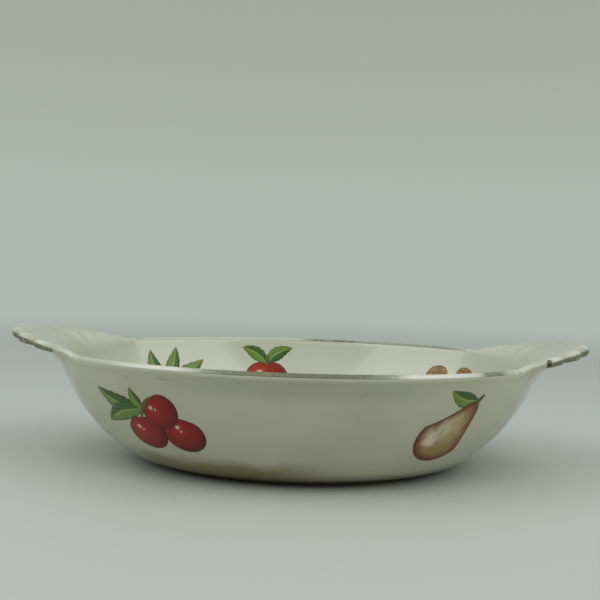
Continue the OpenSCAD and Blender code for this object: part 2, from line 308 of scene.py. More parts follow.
def scuffed(tree, colour, place, axes, front):
    """Grey marks and a dull band under the front of the rim, and specks all over."""
    below_lip = window(tree, axes["Z"], SCUFF_RISE, SCUFF_FALL)
    marks = ramp(tree, noise(tree, place, WAVES["marks"], 4, stretch=MARK_STRETCH), 0.6, 0.72)
    band = window(tree, axes["X"], BAND_RISE, BAND_FALL)
    marks, band = product(tree, marks, COVER["marks"]), product(tree, band, COVER["band"])
    worn = calc(tree, "MAXIMUM", marks, band)
    colour = layer(tree, colour, worn, product(tree, below_lip, front), SCUFF)

    cells = add_node(tree, "ShaderNodeTexVoronoi", {"Vector": place, "Scale": SPECK_CELLS}).outputs
    pick = add_node(tree, "ShaderNodeSeparateColor", {0: cells["Color"]}).outputs[0]
    dots = product(tree, ramp(tree, cells["Distance"], *SPECK_SIZE), ramp(tree, pick, *SPECK_PICK))
    return layer(tree, colour, dots, COVER["speck"], SPECK)


def fluted(tree, colour, place):
    """Painted shade in the flutes of a shell, a painted highlight on the crowns of its lobes, and the chip
    with a ragged edge.
    """
    # Painted shade in the flutes.
    colour = layer(tree, colour, share_of(tree, "hollow"), COVER["hollow"], HOLLOW_SHADE)
    # Painted highlight on the crowns of the lobes.
    colour = layer(tree, colour, share_of(tree, "rubbed"), COVER["rubbed"], PAINTED_HIGHLIGHT)
    rough = product(tree, noise(tree, place, WAVES["chip"]), 0.5)
    ragged = calc(tree, "SUBTRACT", share_of(tree, "chip"), rough)
    return mix(tree, ramp(tree, ragged, 0.0, 0.35), colour, CHIPPED)


# %% Mix the glaze
FRONT_FADE = (-20 * MM, -45 * MM)
GLAZE_ROUGHNESS = 0.12
GLAZE_RELIEF = 0.03 * MM


def cream_glaze(name, on_shell=False):
    """The whole glaze: clouds first, then dirt with painted light and shade, wear and, on a shell, its
    flutes with painted shade and highlights.
    """
    material, tree, shader = new_finish(name)
    place, axes = object_place(tree)
    clouds = noise(tree, place, WAVES["clouds"])
    colour = mix(tree, ramp(tree, clouds, 0.4, 0.7), CREAM, CREAM_CLOUD)
    outside = outside_mask(tree, place)
    front = product(tree, ramp(tree, axes["Y"], *FRONT_FADE), outside)
    colour, stain = soiled_and_shaded(tree, colour, place, axes, outside, front)
    colour = scuffed(tree, colour, place, axes, front)
    if on_shell:
        colour = fluted(tree, colour, place)
    dull = calc(tree, "ADD", product(tree, clouds, 0.14), product(tree, stain, 0.2))
    set_gloss(tree, shader)
    fill(tree, shader, {
        "Base Color": colour, "Roughness": calc(tree, "ADD", dull, GLAZE_ROUGHNESS),
        "Normal": relief(tree, noise(tree, place, WAVES["grain"], 2), GLAZE_RELIEF),
    })
    return material


glaze = cream_glaze("cream_glaze")
shell_glaze = cream_glaze("cream_glaze_on_shells", on_shell=True)
print("glazes:", glaze.name, shell_glaze.name)

# %% [markdown]
# ## The section of the bowl
#
# The wall of the bowl is an arc from heel to rim, outside and inside. Instead of copying numbers,
# three rays at three heights find where the frame's wall is, and the circle through the three
# points gives the whole arc. An oval bowl has two reaches at each height, one at its end and one at
# its side, so a point of the section is kept as end reach, side reach and height.

# %% Measure the wall
PROBE_HEIGHTS = (12 * MM, 30 * MM, 48 * MM)

bowl_low, bowl_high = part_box("bowl")
rim_end, rim_side, rim_top = bowl_high
base_level = bowl_low.z
bowl_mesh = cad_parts["bowl"].data
bowl_corners = [vertex.co for vertex in bowl_mesh.vertices]
bowl_rays = BVHTree.FromPolygons(bowl_corners, [face.vertices for face in bowl_mesh.polygons])


def hit(start, direction):
    """Where a ray meets the frame's bowl."""
    return bowl_rays.ray_cast(Vector(start), Vector(direction))[0]


def circle_through(a, b, c):
    """Centre and radius of the circle through three points of a section."""
    (ax, ay), (bx, by), (cx, cy) = a, b, c
    twice = 2 * (ax * (by - cy) + bx * (cy - ay) + cx * (ay - by))
    a2, b2, c2 = ax * ax + ay * ay, bx * bx + by * by, cx * cx + cy * cy
    x = (a2 * (by - cy) + b2 * (cy - ay) + c2 * (ay - by)) / twice
    y = (a2 * (cx - bx) + b2 * (ax - cx) + c2 * (bx - ax)) / twice
    return Vector((x, y)), math.hypot(ax - x, ay - y)


outside = [(hit((2 * rim_end, 0, z), (-1, 0, 0)).x, z) for z in PROBE_HEIGHTS]
inside = [(hit((0, 0, z), (1, 0, 0)).x, z) for z in PROBE_HEIGHTS]
wall_centre, wall_radius = circle_through(*outside)
inner_centre, inner_radius = circle_through(*inside)
rim_ratio = rim_side / rim_end
inner_ratio = hit((0, 0, PROBE_HEIGHTS[1]), (0, 1, 0)).y / inside[1][0]
floor_level = hit((0, 0, rim_top), (0, 0, -1)).z
print("wall radius in mm:", round(wall_radius / MM, 2), "inside:", round(inner_radius / MM, 2))
print("floor level in mm:", round(floor_level / MM, 2), "inner ratio:", round(inner_ratio, 4))

# %% Stretches of a section
def arc(centre, radius, first, last, count):
    """Points of an arc of a section, from one angle in degrees to another."""
    turns = [math.radians(first + (last - first) * i / count) for i in range(count + 1)]
    return [(centre[0] + radius * math.cos(a), centre[1] + radius * math.sin(a)) for a in turns]


def angle_at(height, centre, radius):
    """The angle in degrees at which an arc of a section reaches a height."""
    return math.degrees(math.asin((height - centre[1]) / radius))


def oval(points, ratio):
    """Give points of a section their second reach, at the side of the oval."""
    return [Vector((x, x * ratio, z)) for x, z in points]


def bridge(before, start, end, after, count):
    """Points of a smooth curve between two stretches of a section."""
    span = (end - start).length
    out = (start - before).normalized() * span
    into = (after - end).normalized() * span
    points = []
    for i in range(1, count):
        t = i / count
        rest = 1 - t
        points.append(
            (1 + 2 * t) * rest * rest * start + t * rest * rest * out
            + t * t * (3 - 2 * t) * end - t * t * rest * into
        )
    return points


# %% Draw the section
HEEL_RISE = 3 * MM
FLOOR_RADIUS = 14 * MM
LIP_BEAD = 0.3 * MM
LIP_START = -25
LIP_END = 163
NECK_DROP = 2.6
INNER_DROP = 0.1
STEPS = {"base": 5, "heel": 10, "wall": 30, "neck": 6, "lip": 28, "inside": 72, "corner": 14, "floor": 8}

lip_radius = (wall_radius - inner_radius + LIP_BEAD) / 2
lip_level = rim_top - lip_radius


def on_lip(points):
    """Points round the middle of the lip, which is as far from the edge at the end as at the side."""
    return [Vector((rim_end - lip_radius + x, rim_side - lip_radius + x, z)) for x, z in points]


low_angle = angle_at(base_level + HEEL_RISE, wall_centre, wall_radius)
heel_radius = HEEL_RISE / (1 + math.sin(math.radians(low_angle)))
heel_reach = wall_centre.x + (wall_radius - heel_radius) * math.cos(math.radians(low_angle))
heel_centre = (heel_reach, base_level + heel_radius)
neck_angle = angle_at(rim_top - NECK_DROP * lip_radius, wall_centre, wall_radius)
base = [(heel_reach * i / STEPS["base"], base_level) for i in range(STEPS["base"])]
heel = arc(heel_centre, heel_radius, -90, low_angle, STEPS["heel"])
wall = arc(wall_centre, wall_radius, low_angle, neck_angle, STEPS["wall"])
outer_part = oval(base + heel + wall[1:], rim_ratio)

lip_part = on_lip(arc((0, lip_level), lip_radius, LIP_START, LIP_END, STEPS["lip"]))
neck_part = bridge(*outer_part[-2:], *lip_part[:2], STEPS["neck"])

floor_rise = floor_level + FLOOR_RADIUS - inner_centre.y
floor_reach = inner_centre.x + math.sqrt((inner_radius - FLOOR_RADIUS) ** 2 - floor_rise ** 2)
floor_angle = math.degrees(math.atan2(floor_rise, floor_reach - inner_centre.x))
inner_top = angle_at(lip_level - INNER_DROP * lip_radius, inner_centre, inner_radius)
inner_wall = arc(inner_centre, inner_radius, inner_top, floor_angle, STEPS["inside"])
corner_centre = (floor_reach, floor_level + FLOOR_RADIUS)
corner = arc(corner_centre, FLOOR_RADIUS, floor_angle, -90, STEPS["corner"])
floor = [(floor_reach * i / STEPS["floor"], floor_level) for i in reversed(range(STEPS["floor"]))]
inner_part = oval(inner_wall + corner[1:] + floor, inner_ratio)

bowl_section = outer_part + neck_part + lip_part + inner_part
print("points in the bowl's section:", len(bowl_section))
print("radius of the lip in mm:", round(lip_radius / MM, 2))

# %% [markdown]
# ## Turning the oval
#
# Bowl, foot and gold line are all one thing: a section carried round an oval. A lathe tool or the
# Spin tool makes circles only, so a node tree does it by rule. It takes a grid, reads for each row
# the point of the section, and sets the vertex at end reach times cosine and side reach times sine
# of its turn. A trace of noise draws the wall in here and there, as on hand-pressed ware. Beside the
# handles the rim stays still, so that they still meet it.

# %% Build the turning tree
STILL_FADE = (1.3, 1.0)
STILL_DEPTH = (20 * MM, 13 * MM)
RIPPLE_WAVES = 14
WELD = 0.002 * MM


def turning_tree():
    """The shape tree that carries a section round the oval."""
    tree, given = start_tree("turned_oval", [
        ("Section", "Object"), ("Around", "Int"), ("First Turn", "Float"), ("Last Turn", "Float"),
        ("Unevenness", "Float"), ("Still Turn", "Float"), ("Top", "Float"), ("Material", "Material"),
    ])
    section = add_node(tree, "GeometryNodeObjectInfo", {"Object": given["Section"]}).outputs["Geometry"]
    size = add_node(tree, "GeometryNodeAttributeDomainSize", {0: section}, component="CURVE")
    rows = size.outputs["Point Count"]
    grid = add_node(tree, "GeometryNodeMeshGrid", {"Vertices X": given["Around"], "Vertices Y": rows})
    index = add_node(tree, "GeometryNodeInputIndex").outputs[0]
    row = calc(tree, "MODULO", index, rows)
    column = calc(tree, "FLOOR", calc(tree, "DIVIDE", calc(tree, "ADD", index, 0.5), rows))
    share = calc(tree, "DIVIDE", column, calc(tree, "SUBTRACT", given["Around"], 1))
    span = calc(tree, "SUBTRACT", given["Last Turn"], given["First Turn"])
    turn = calc(tree, "ADD", given["First Turn"], product(tree, share, span))
    position = add_node(tree, "GeometryNodeInputPosition").outputs[0]
    sample = {"Geometry": section, "Value": position, "Index": row}
    point = add_node(tree, "GeometryNodeSampleIndex", sample, data_type="FLOAT_VECTOR").outputs[0]
    sine = calc(tree, "SINE", turn)
    circle = {0: calc(tree, "COSINE", turn), 1: sine, 2: 1.0}
    place = vector_calc(tree, "MULTIPLY", point, add_node(tree, "ShaderNodeCombineXYZ", circle).outputs[0])
    height = add_node(tree, "ShaderNodeSeparateXYZ", {0: place}).outputs["Z"]
    below_top = calc(tree, "SUBTRACT", given["Top"], height)
    off_end = calc(tree, "DIVIDE", sine, calc(tree, "SINE", given["Still Turn"]))
    near_handle = ramp(tree, calc(tree, "ABSOLUTE", off_end), *STILL_FADE)
    loose = calc(tree, "SUBTRACT", 1.0, product(tree, near_handle, ramp(tree, below_top, *STILL_DEPTH)))
    ripple = product(tree, noise(tree, place, RIPPLE_WAVES, 1), given["Unevenness"], loose)
    spread = calc(tree, "SUBTRACT", 1.0, ripple)
    spread = add_node(tree, "ShaderNodeCombineXYZ", {0: spread, 1: spread, 2: 1.0}).outputs[0]
    moved = {"Geometry": grid.outputs[0], "Position": vector_calc(tree, "MULTIPLY", place, spread)}
    shape = add_node(tree, "GeometryNodeSetPosition", moved).outputs[0]
    welded = {"Geometry": shape, "Distance": WELD}
    shape = add_node(tree, "GeometryNodeMergeByDistance", welded).outputs[0]
    end_tree(tree, shape, given["Material"])
    return tree


turned_oval = turning_tree()
print("nodes in the turning tree:", len(turned_oval.nodes))

# %% Turn a section and hand a piece over
HANDLE_HALF_WIDTH = 50 * MM
handle_angle = math.asin(HANDLE_HALF_WIDTH / rim_side)
print("a handle spans", round(2 * math.degrees(handle_angle), 1), "degrees of the oval")


def turn_section(name, points, around, material, turns=(0, 360), unevenness=0.0):
    """Carry a section round the oval, or round a stretch of it."""
    curve = bpy.data.curves.new(name + "_section", "CURVE")
    curve.dimensions = "3D"
    spline = curve.splines.new("POLY")
    spline.points.add(len(points) - 1)
    for slot, point in zip(spline.points, points):
        slot.co = (*point, 1)
    guide = new_piece(curve.name, curve)
    piece = grow(name, turned_oval, {
        "Section": guide, "Around": around, "First Turn": math.radians(turns[0]),
        "Last Turn": math.radians(turns[1]), "Unevenness": unevenness,
        "Still Turn": handle_angle, "Top": rim_top, "Material": material,
    })
    bpy.data.objects.remove(guide)
    return piece


def hand_over(piece, slot, *nodes):
    """The piece stands for these nodes and rides with the dish. The slot is not used."""
    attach(piece, "root")
    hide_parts(*nodes)
    faces = len(piece.data.polygons)
    print(piece.name, "stands for", ", ".join(nodes), "with", faces, "faces")


# %% Turn the bowl
BOWL_COLUMNS = 289
UNEVENNESS = 0.0012
FACING_UP = 0.2


def add_shares(mesh, name, values):
    """Keep one number for each vertex, for a finish to read."""
    attribute = mesh.attributes.new(name, "FLOAT", "POINT")
    attribute.data.foreach_set("value", values)


def faces_out(vertex):
    """1 on the outside of the bowl, which leans over, and 0 on its inside, which faces up."""
    return float(vertex.normal.z < FACING_UP)


bowl = turn_section("glazed_bowl", bowl_section, BOWL_COLUMNS, glaze, unevenness=UNEVENNESS)
add_shares(bowl.data, "outside", [faces_out(vertex) for vertex in bowl.data.vertices])
hand_over(bowl, "glazed_body", "bowl")

# %% [markdown]
# ## The foot ring
#
# The dish stands on a low ring that is wiped clean of glaze before firing, so it is matt, darker than
# the glaze and worn grey where it rubs on the table. Part of its darkness is painted shade under the
# heel. Its corners are softened, because a wiped edge of clay is never sharp.

# %% Turn the foot
FOOT_WIDTH = 6 * MM
FOOT_TAPER = 0.8 * MM
FOOT_ROUND = 0.9 * MM
FOOT_STEPS = 5
FOOT_COLUMNS = 193
# The clay is painted darker partly as shade under the heel.
CLAY_AND_SHADE = ink(132, 120, 92)
CLAY_GRIT_AND_SHADE = ink(130, 118, 88)
CLAY_WORN = ink(100, 92, 70)
WORN_HEIGHT = 0.6 * MM
CLAY_RELIEF = 0.06 * MM
GRIT_WAVES = 700
PATCH_WAVES = 90


def bare_clay():
    """Matt, gritty clay, partly darkened as painted shade under the heel, and worn where it touches the
    table.
    """
    material, tree, shader = new_finish("bare_clay")
    place, axes = object_place(tree)
    grit = noise(tree, place, GRIT_WAVES, 4)
    patches = ramp(tree, noise(tree, place, PATCH_WAVES), 0.3, 0.6)
    colour = mix(tree, ramp(tree, grit, 0.35, 0.7), CLAY_AND_SHADE, CLAY_GRIT_AND_SHADE)
    colour = layer(tree, colour, ramp(tree, axes["Z"], WORN_HEIGHT, 0.0), patches, CLAY_WORN)
    fill(tree, shader, {
        "Base Color": colour, "Roughness": ramp(tree, grit, 0.2, 0.8, 0.7, 0.9),
        "Normal": relief(tree, grit, CLAY_RELIEF),
    })
    return material


def foot_section():
    """The ring's section, from the top of its inner side down, across and up its outer side."""
    inset = FOOT_TAPER + FOOT_ROUND
    inner_corner = arc((FOOT_WIDTH - inset, FOOT_ROUND), FOOT_ROUND, 0, -90, FOOT_STEPS)
    outer_corner = arc((inset, FOOT_ROUND), FOOT_ROUND, -90, -180, FOOT_STEPS)
    points = [(FOOT_WIDTH, foot_top), *inner_corner, *outer_corner, (0, foot_top), (FOOT_WIDTH, foot_top)]
    return [Vector((foot_end - x, foot_side - x, z)) for x, z in points]


foot = turn_section("bare_foot_ring", foot_section(), FOOT_COLUMNS, bare_clay())
hand_over(foot, "bare_clay", "foot_ring")

# %% [markdown]
# ## The shell handles
#
# A handle is a fan of lobes that grows out of the rim. It rises towards its edge, the edge is a row
# of half-round lobes, and shallow flutes run from the notches back to the rim. The shape follows
# the share w, which goes from -1 to 1 along the rim, so it is built as rows of sections, the way a
# loft is made. Where the section meets the bowl it bends into the wall, so no seam shows.

# %% The rule of a shell
HANDLE_THICKNESS = 5.4 * MM
HANDLE_FILLET = 7 * MM
LOBES = 7
LOBE_PACE = 1.07
LOBE_CROWDING = 0.225
NOTCH_DEPTH = 3 * MM
GROOVE_DEPTH = 1.8 * MM
END_REACH = 1.5 * MM
EDGE_SLOPE = 0.25
FLOW_RADIUS = 22 * MM
SUNK = 0.04 * MM
LOBE_POWER = 0.4
NOTCH_SOFTNESS = 0.004

handle_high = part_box("right_handle")[1]
handle_reach = handle_high.x - rim_end
handle_rise = handle_high.z - rim_top


def step(value, start, end):
    """A soft step from 0 to 1 as a value goes from start to end."""
    t = min(1.0, max(0.0, (value - start) / (end - start)))
    return t * t * (3 - 2 * t)


def lobe(w):
    """1 on the middle of a lobe and 0 in a notch."""
    passed = LOBES / 2 * (LOBE_PACE * abs(w) + LOBE_CROWDING * w * w)
    if passed > LOBES / 2:
        return 0.0
    return (math.cos(math.pi * passed) ** 2 + NOTCH_SOFTNESS) ** LOBE_POWER


print("handle reach and rise in mm:", round(handle_reach / MM, 1), round(handle_rise / MM, 1))

# %% [markdown]
# Past its last lobe a shell has no edge: the surface rolls over the rim and runs down the wall in a
# smooth web. So the rule blends two sections, one with a half-round edge and an underside, and one
# with a wide roll, and the share called roll goes from the first to the second. The powers set how
# quickly fade, reach and rise die away towards the ends. Two buried points, each a depth and an angle,
# hide the start of the section inside the wall.

# %% The sizes of a shell at one place
ROLL_FROM = 0.8
ROLL_TO = 0.98
ROLL_RISE = 0.45
ROLL_ANGLE = -24
ROLL_DEPTH = 6 * MM
FIRST_NOTCH = 0.13
LAST_NOTCH = 0.9
FADE_POWER = 0.7
REACH_POWER = 1.3
RISE_POWER = 0.95
END_THICKNESS = 0.35
END_FILLET = 0.5
LEAST_SPAN = 0.5 * MM
LEAST_RUN = 0.05 * MM
BURIED = ((3 * SUNK, 1.6), (SUNK, 0.8))


class Shell:
    """The sizes of a handle at the share w of its width."""

    def __init__(self, w):
        swell = 1 - w * w
        fade = swell ** FADE_POWER
        self.roll = step(abs(w), ROLL_FROM, ROLL_TO)
        edged = 1 - self.roll
        self.hollow = (1 - min(1.0, lobe(w))) * fade * step(abs(w), LAST_NOTCH, ROLL_FROM)
        self.groove = GROOVE_DEPTH * self.hollow
        thickness = HANDLE_THICKNESS * (END_THICKNESS + (1 - END_THICKNESS) * fade)
        fillet = HANDLE_FILLET * (END_FILLET + (1 - END_FILLET) * fade)
        self.depth = edged * (thickness + fillet) + self.roll * ROLL_DEPTH

        lip = lip_radius - 2 * SUNK * self.roll
        reach = END_REACH + (handle_reach - END_REACH) * swell ** REACH_POWER - NOTCH_DEPTH * self.hollow
        self.radius = edged * (thickness - self.groove) / 2 + self.roll * lip
        self.edge = rim_end + edged * (reach - thickness / 2) - self.roll * lip

        span = max(LEAST_SPAN, self.edge - rim_end + lip_radius)
        rise = handle_rise * swell ** RISE_POWER
        self.rise = edged * rise + self.roll * min(rise, ROLL_RISE * (span - LEAST_SPAN))
        self.slope = 2 * self.rise / ((1 + EDGE_SLOPE) * span)
        self.lean = math.atan(self.slope)
        self.flow = lip + (FLOW_RADIUS - lip) * fade * edged
        under_angle = math.degrees(math.atan(EDGE_SLOPE * self.slope)) - 90
        self.last_angle = edged * under_angle + self.roll * ROLL_ANGLE

        self.cosine = math.cos(handle_angle * w)
        self.sine = math.sin(handle_angle * w)
        self.outward = Vector((self.cosine, rim_ratio * self.sine, 0)).normalized()
        self.flow_centre = self.find_flow()
        away = self.flow_centre - inner_centre
        self.flow_first = math.degrees(math.atan2(away.y, away.x))
        self.flow_level = inner_centre.y + inner_radius * away.normalized().y
        self.start = self.flow_centre.x - self.flow * math.sin(self.lean)
        self.start_level = self.flow_centre.y + self.flow * math.cos(self.lean)

    def find_flow(self):
        """Middle of the round that leads from the inside of the wall to the slope of the top."""
        along = Vector((math.cos(self.lean), math.sin(self.lean)))
        up = Vector((-along.y, along.x))
        lip_middle = Vector((rim_end - lip_radius, lip_level))
        first = lip_middle + (lip_radius - self.flow) * up - inner_centre
        distance = inner_radius + self.flow
        forward = first.dot(along)
        slide = math.sqrt(max(0.0, forward ** 2 - first.length_squared + distance ** 2)) - forward
        return inner_centre + first + slide * along

    def flow_points(self, count):
        """The round itself, from a start sunk in the inside of the wall to the slope."""
        points = []
        for depth, before in BURIED:
            a = math.radians(self.flow_first - before)
            points.append(inner_centre + (inner_radius + depth) * Vector((math.cos(a), math.sin(a))))
        first, last = 180 + self.flow_first, 90 + math.degrees(self.lean)
        return points + [Vector(p) for p in arc(self.flow_centre, self.flow, first, last, count)]

    def level(self, reach):
        """Height of the top before the flutes. It leaves the lip smoothly and flattens to the edge."""
        run = max(LEAST_RUN, self.edge - self.start)
        sag = (self.slope * run - (rim_top + self.rise - self.start_level)) / (run * run)
        u = reach - self.start
        return self.start_level + self.slope * u - sag * u * u

    def nose(self, angle, lift=0.0):
        """A point of the round edge."""
        height = self.level(self.edge) - self.groove - self.radius
        a = math.radians(angle)
        size = self.radius + lift
        return Vector((self.edge + size * math.cos(a), height + size * math.sin(a)))

    def at(self, point, inner=False):
        """A point of the section, in space. The inner side follows the inner oval up to the lip."""
        reach = min(point[0], rim_end)
        ratio = rim_ratio
        if inner:
            over_lip = min(1.0, max(0.0, (reach - rim_end) / (2 * lip_radius) + 1))
            ratio = inner_ratio + (rim_ratio - inner_ratio) * over_lip
        spot = Vector((reach * self.cosine, reach * ratio * self.sine, point[1]))
        return spot + (point[0] - reach) * self.outward


edges = [round(Shell(w).edge / MM, 1) for w in (0, FIRST_NOTCH)]
print("middle of the round edge in mm, on the first lobe and in the first notch:", edges)

# %% [markdown]
# A section runs from the inside of the wall over the top, round the edge and along the underside back
# to the wall, where its seat lies hidden. Every point also gets its shares for the finish.

# %% The section of a shell
FLOW_STEPS = 14
TOP_STEPS = 26
NOSE_STEPS = 14
UNDER_STEPS = 30
EDGE_PULL = 0.45
WALL_PULL = 0.3
SEAT_DEPTH = 1.5 * MM
SEAT_STEP = 1 * MM
GROOVE_POWER = 1.5
HOLLOW_POWER = 1.2
CROWN_POWER = 10
CROWN_WIDTH = (0.75, 1.0)
CROWN_ANGLES = (10, 50)
OUTSIDE_ANGLES = (60, 10)


def shell_top(shell):
    """From the inside of the wall to the edge, sinking into a flute on the way."""
    points = shell.flow_points(FLOW_STEPS)
    for i in range(1, TOP_STEPS + 1):
        t = i / TOP_STEPS
        reach = shell.start + t * (shell.edge - shell.start)
        points.append(Vector((reach, shell.level(reach) - shell.groove * t ** GROOVE_POWER)))
    return points


def shell_under(shell):
    """From the edge in one sweep to the wall: along the underside of a lobe, or straight off the roll."""
    height = rim_top - shell.depth
    drop = math.sqrt(wall_radius ** 2 - (height - wall_centre.y) ** 2)
    seat = Vector((wall_centre.x + drop, height))
    up_wall = Vector(((wall_centre.y - height) / drop, 1)).normalized()
    a = math.radians(shell.last_angle)
    start = shell.nose(shell.last_angle)
    first = start + Vector((math.sin(a), -math.cos(a))) * EDGE_PULL * (start - seat).length
    last = seat + up_wall * WALL_PULL * (start - seat).length
    sweep = []
    for i in range(UNDER_STEPS + 1):
        t = i / UNDER_STEPS
        rest = 1 - t
        sweep.append(
            rest ** 3 * start + 3 * t * rest ** 2 * first + 3 * t * t * rest * last + t ** 3 * seat
        )
    into_wall = Vector((-up_wall.y, up_wall.x)) * 3 * SUNK
    return sweep + [seat - up_wall * SEAT_DEPTH + into_wall]


def shell_section(w):
    """One closed section of a handle, with its seat hidden in the wall, and shares for its finish."""
    shell = Shell(w)
    top = shell_top(shell)
    turn = shell.last_angle - 90
    angles = [90 + turn * i / NOSE_STEPS for i in range(1, NOSE_STEPS)]
    under = shell_under(shell)
    into_seat = Vector((SEAT_DEPTH, -SEAT_STEP))
    seat_low, seat_high = under[-1] - into_seat, top[0] + into_seat
    over = [shell.at(p, inner=True) for p in [seat_high] + top + [shell.nose(a) for a in angles]]
    below = [shell.at(p) for p in under + [seat_low]]
    shares = [max(0, i + TOP_STEPS - len(top)) / TOP_STEPS for i in range(len(top) + 1)]
    flat = [0.0] * len(below)
    # The hollow share later darkens the flutes as painted shade.
    hollow = [shell.hollow * t ** HOLLOW_POWER for t in shares + [1.0] * len(angles)]
    # The crowns of the lobes are marked for a painted highlight.
    crown = step(lobe(w), *CROWN_WIDTH) * (1 - shell.roll)
    rubbed = [crown * t ** CROWN_POWER for t in shares] + [crown * step(a, *CROWN_ANGLES) for a in angles]
    outer = [0.0] * len(shares) + [step(a, *OUTSIDE_ANGLES) for a in angles] + [1.0] * len(below)
    return over + below, {"hollow": hollow + flat, "rubbed": rubbed + flat, "outside": outer}


print("points in a shell's section:", len(shell_section(0)[0]))

# %% Loft the handles
SHELL_ROWS = 264
CHIP_SHARE = -0.768
CHIP_ANGLE = 10
CHIP_SIZE = Vector((1.9, 1.9, 3.6)) * MM


def loft(name, rows, mirrored, material):
    """A closed skin over rows of sections, mirrored to the left end where asked."""
    count = len(rows[0])
    side = -1 if mirrored else 1
    points = [(side * p.x, p.y, p.z) for row in rows for p in row]
    faces = []
    for i in range(len(rows) - 1):
        for j in range(count):
            k = (j + 1) % count
            faces.append((i * count + j, (i + 1) * count + j, (i + 1) * count + k, i * count + k))
    last = (len(rows) - 1) * count
    faces.append(tuple(range(count)))
    faces.append(tuple(last + j for j in reversed(range(count))))
    if not mirrored:
        faces = [tuple(reversed(face)) for face in faces]
    mesh = bpy.data.meshes.new(name)
    mesh.from_pydata(points, [], faces)
    mesh.shade_smooth()
    mesh.materials.append(material)
    return new_piece(name, mesh)


def shell_handle(name, mirrored):
    """A handle with the shares that its glaze reads."""
    sections = [shell_section(-1 + 2 * i / SHELL_ROWS) for i in range(SHELL_ROWS + 1)]
    piece = loft(name, [section[0] for section in sections], mirrored, shell_glaze)
    for share in ("hollow", "rubbed", "outside"):
        add_shares(piece.data, share, [value for section in sections for value in section[1][share]])
    return piece


def add_chip(piece):
    """Mark where glaze has gone from the last notch on the front of a shell."""
    shell = Shell(CHIP_SHARE)
    middle = shell.at(shell.nose(CHIP_ANGLE), inner=True)
    offsets = [v.co - middle for v in piece.data.vertices]
    away = [Vector([p / size for p, size in zip(offset, CHIP_SIZE)]).length for offset in offsets]
    add_shares(piece.data, "chip", [step(share, 1.0, 0.5) for share in away])


handles = {side: shell_handle(side + "_shell_handle", side == "left") for side in ("left", "right")}
add_chip(handles["right"])
for side, handle in handles.items():
    hand_over(handle, "glazed_body", side + "_handle")

# %% [markdown]
# The lip of the bowl runs on behind the shells and would poke through them, because the shells leave
# the wall in a wider round. A Boolean would cut the lip off, but it is enough to draw it in a little.
# The shading of the bowl is kept as it was.

# %% Sink the lip behind the shells
LIP_DIP = 1.8 * MM
DIP_RISE = (0.7 * MM, 5 * MM)
DIP_FADE = (1.0, 0.9)
LIP_DEPTH = 12 * MM


def sink_lip(mesh):
    """Where the skin of a shell has left the wall, the lip under it shrinks into the wall."""
    moved = 0
    shading = [vertex.normal.copy() for vertex in mesh.vertices]
    for vertex, normal in zip(mesh.vertices, shading):
        x, y, z = vertex.co
        w = math.atan2(y / rim_side, abs(x) / rim_end) / handle_angle
        if abs(w) >= 1 or z < rim_top - LIP_DEPTH:
            continue
        dip = LIP_DIP * step(z - Shell(w).flow_level, *DIP_RISE) * step(abs(w), *DIP_FADE)
        vertex.co -= dip * normal
        moved += dip > 0
    mesh.normals_split_custom_set_from_vertices(shading)
    return moved


print("points of the lip that sank:", sink_lip(bowl.data))

# %% [markdown]
# ## The gold line
#
# A thin line of gold was brushed on the rim and on the edges of the shells, and most of it has been
# washed away. It is modelled as a real film over the lip, turned by the same tree, and lofted over
# the edge of the shells. Its finish mixes worn gold with glaze by noise, so the film seems to break
# up into ragged bits, and on the rim a table lists the stretches on which any gold is left at all.

# %% Mix the worn gold
GOLD = ink(126, 124, 88)
GOLD_DULL = ink(112, 114, 92)
GHOST = ink(138, 140, 114)
GOLD_COVER = 0.8
GOLD_METAL = 0.25
BROAD_WAVES = 26
FINE_WAVES = 420
# Where the painted highlight on the front lip fades out towards the shells.
HIGHLIGHT_ENDS = (84 * MM, 66 * MM)
FRONT_STRETCHES = [
    [(-50 * MM, -26 * MM), (50 * MM, 36 * MM)],
    [(78 * MM, 84 * MM), (95 * MM, 88 * MM)],
]
BACK_STRETCHES = [
    [(-4 * MM, 14 * MM), (100 * MM, 84 * MM)],
    [(-90 * MM, -98 * MM)],
]


def stretch_mask(tree, x, stretches):
    """1 on the stretches of a rim where gold is left, each a list of soft steps along x."""
    total = 0.0
    for steps in stretches:
        total = calc(tree, "ADD", total, window(tree, x, *steps))
    return total


def worn_gold(name, keep, stretches=None, trace=0.0, highlight_share=0.0):
    """Gold of which more is left the higher keep is, all along or on some stretches only.

    A trace of it dulls the glaze on its stretches, and between the shells a painted highlight can whiten the
    glaze.
    """
    material, tree, shader = new_finish(name)
    place, axes = object_place(tree)
    broad = noise(tree, place, BROAD_WAVES, 2)
    fine = noise(tree, place, FINE_WAVES, 5)
    left_over = calc(tree, "ADD", product(tree, broad, 0.7), product(tree, fine, 0.3))
    there = stretch_mask(tree, axes["X"], stretches) if stretches else 1.0
    gold = product(tree, ramp(tree, left_over, 0.6 - keep, 0.72 - keep), there)
    dull = calc(tree, "MAXIMUM", gold, product(tree, there, trace))
    # Painted highlight: between the shells the lip's glaze is whitened.
    white = ramp(tree, calc(tree, "ABSOLUTE", axes["X"]), *HIGHLIGHT_ENDS)
    bare = mix(tree, dull, layer(tree, CREAM, white, highlight_share, PAINTED_HIGHLIGHT), GHOST)
    metal = mix(tree, ramp(tree, fine, 0.4, 0.65), GOLD, GOLD_DULL)
    set_gloss(tree, shader)
    fill(tree, shader, {
        "Base Color": layer(tree, bare, gold, GOLD_COVER, metal),
        "Metallic": product(tree, gold, GOLD_METAL),
        "Roughness": ramp(tree, dull, 0.0, 1.0, 0.2, 0.5),
        "Coat Weight": ramp(tree, dull, 0.0, 0.6, 0.6, 0.05),
    })
    return material


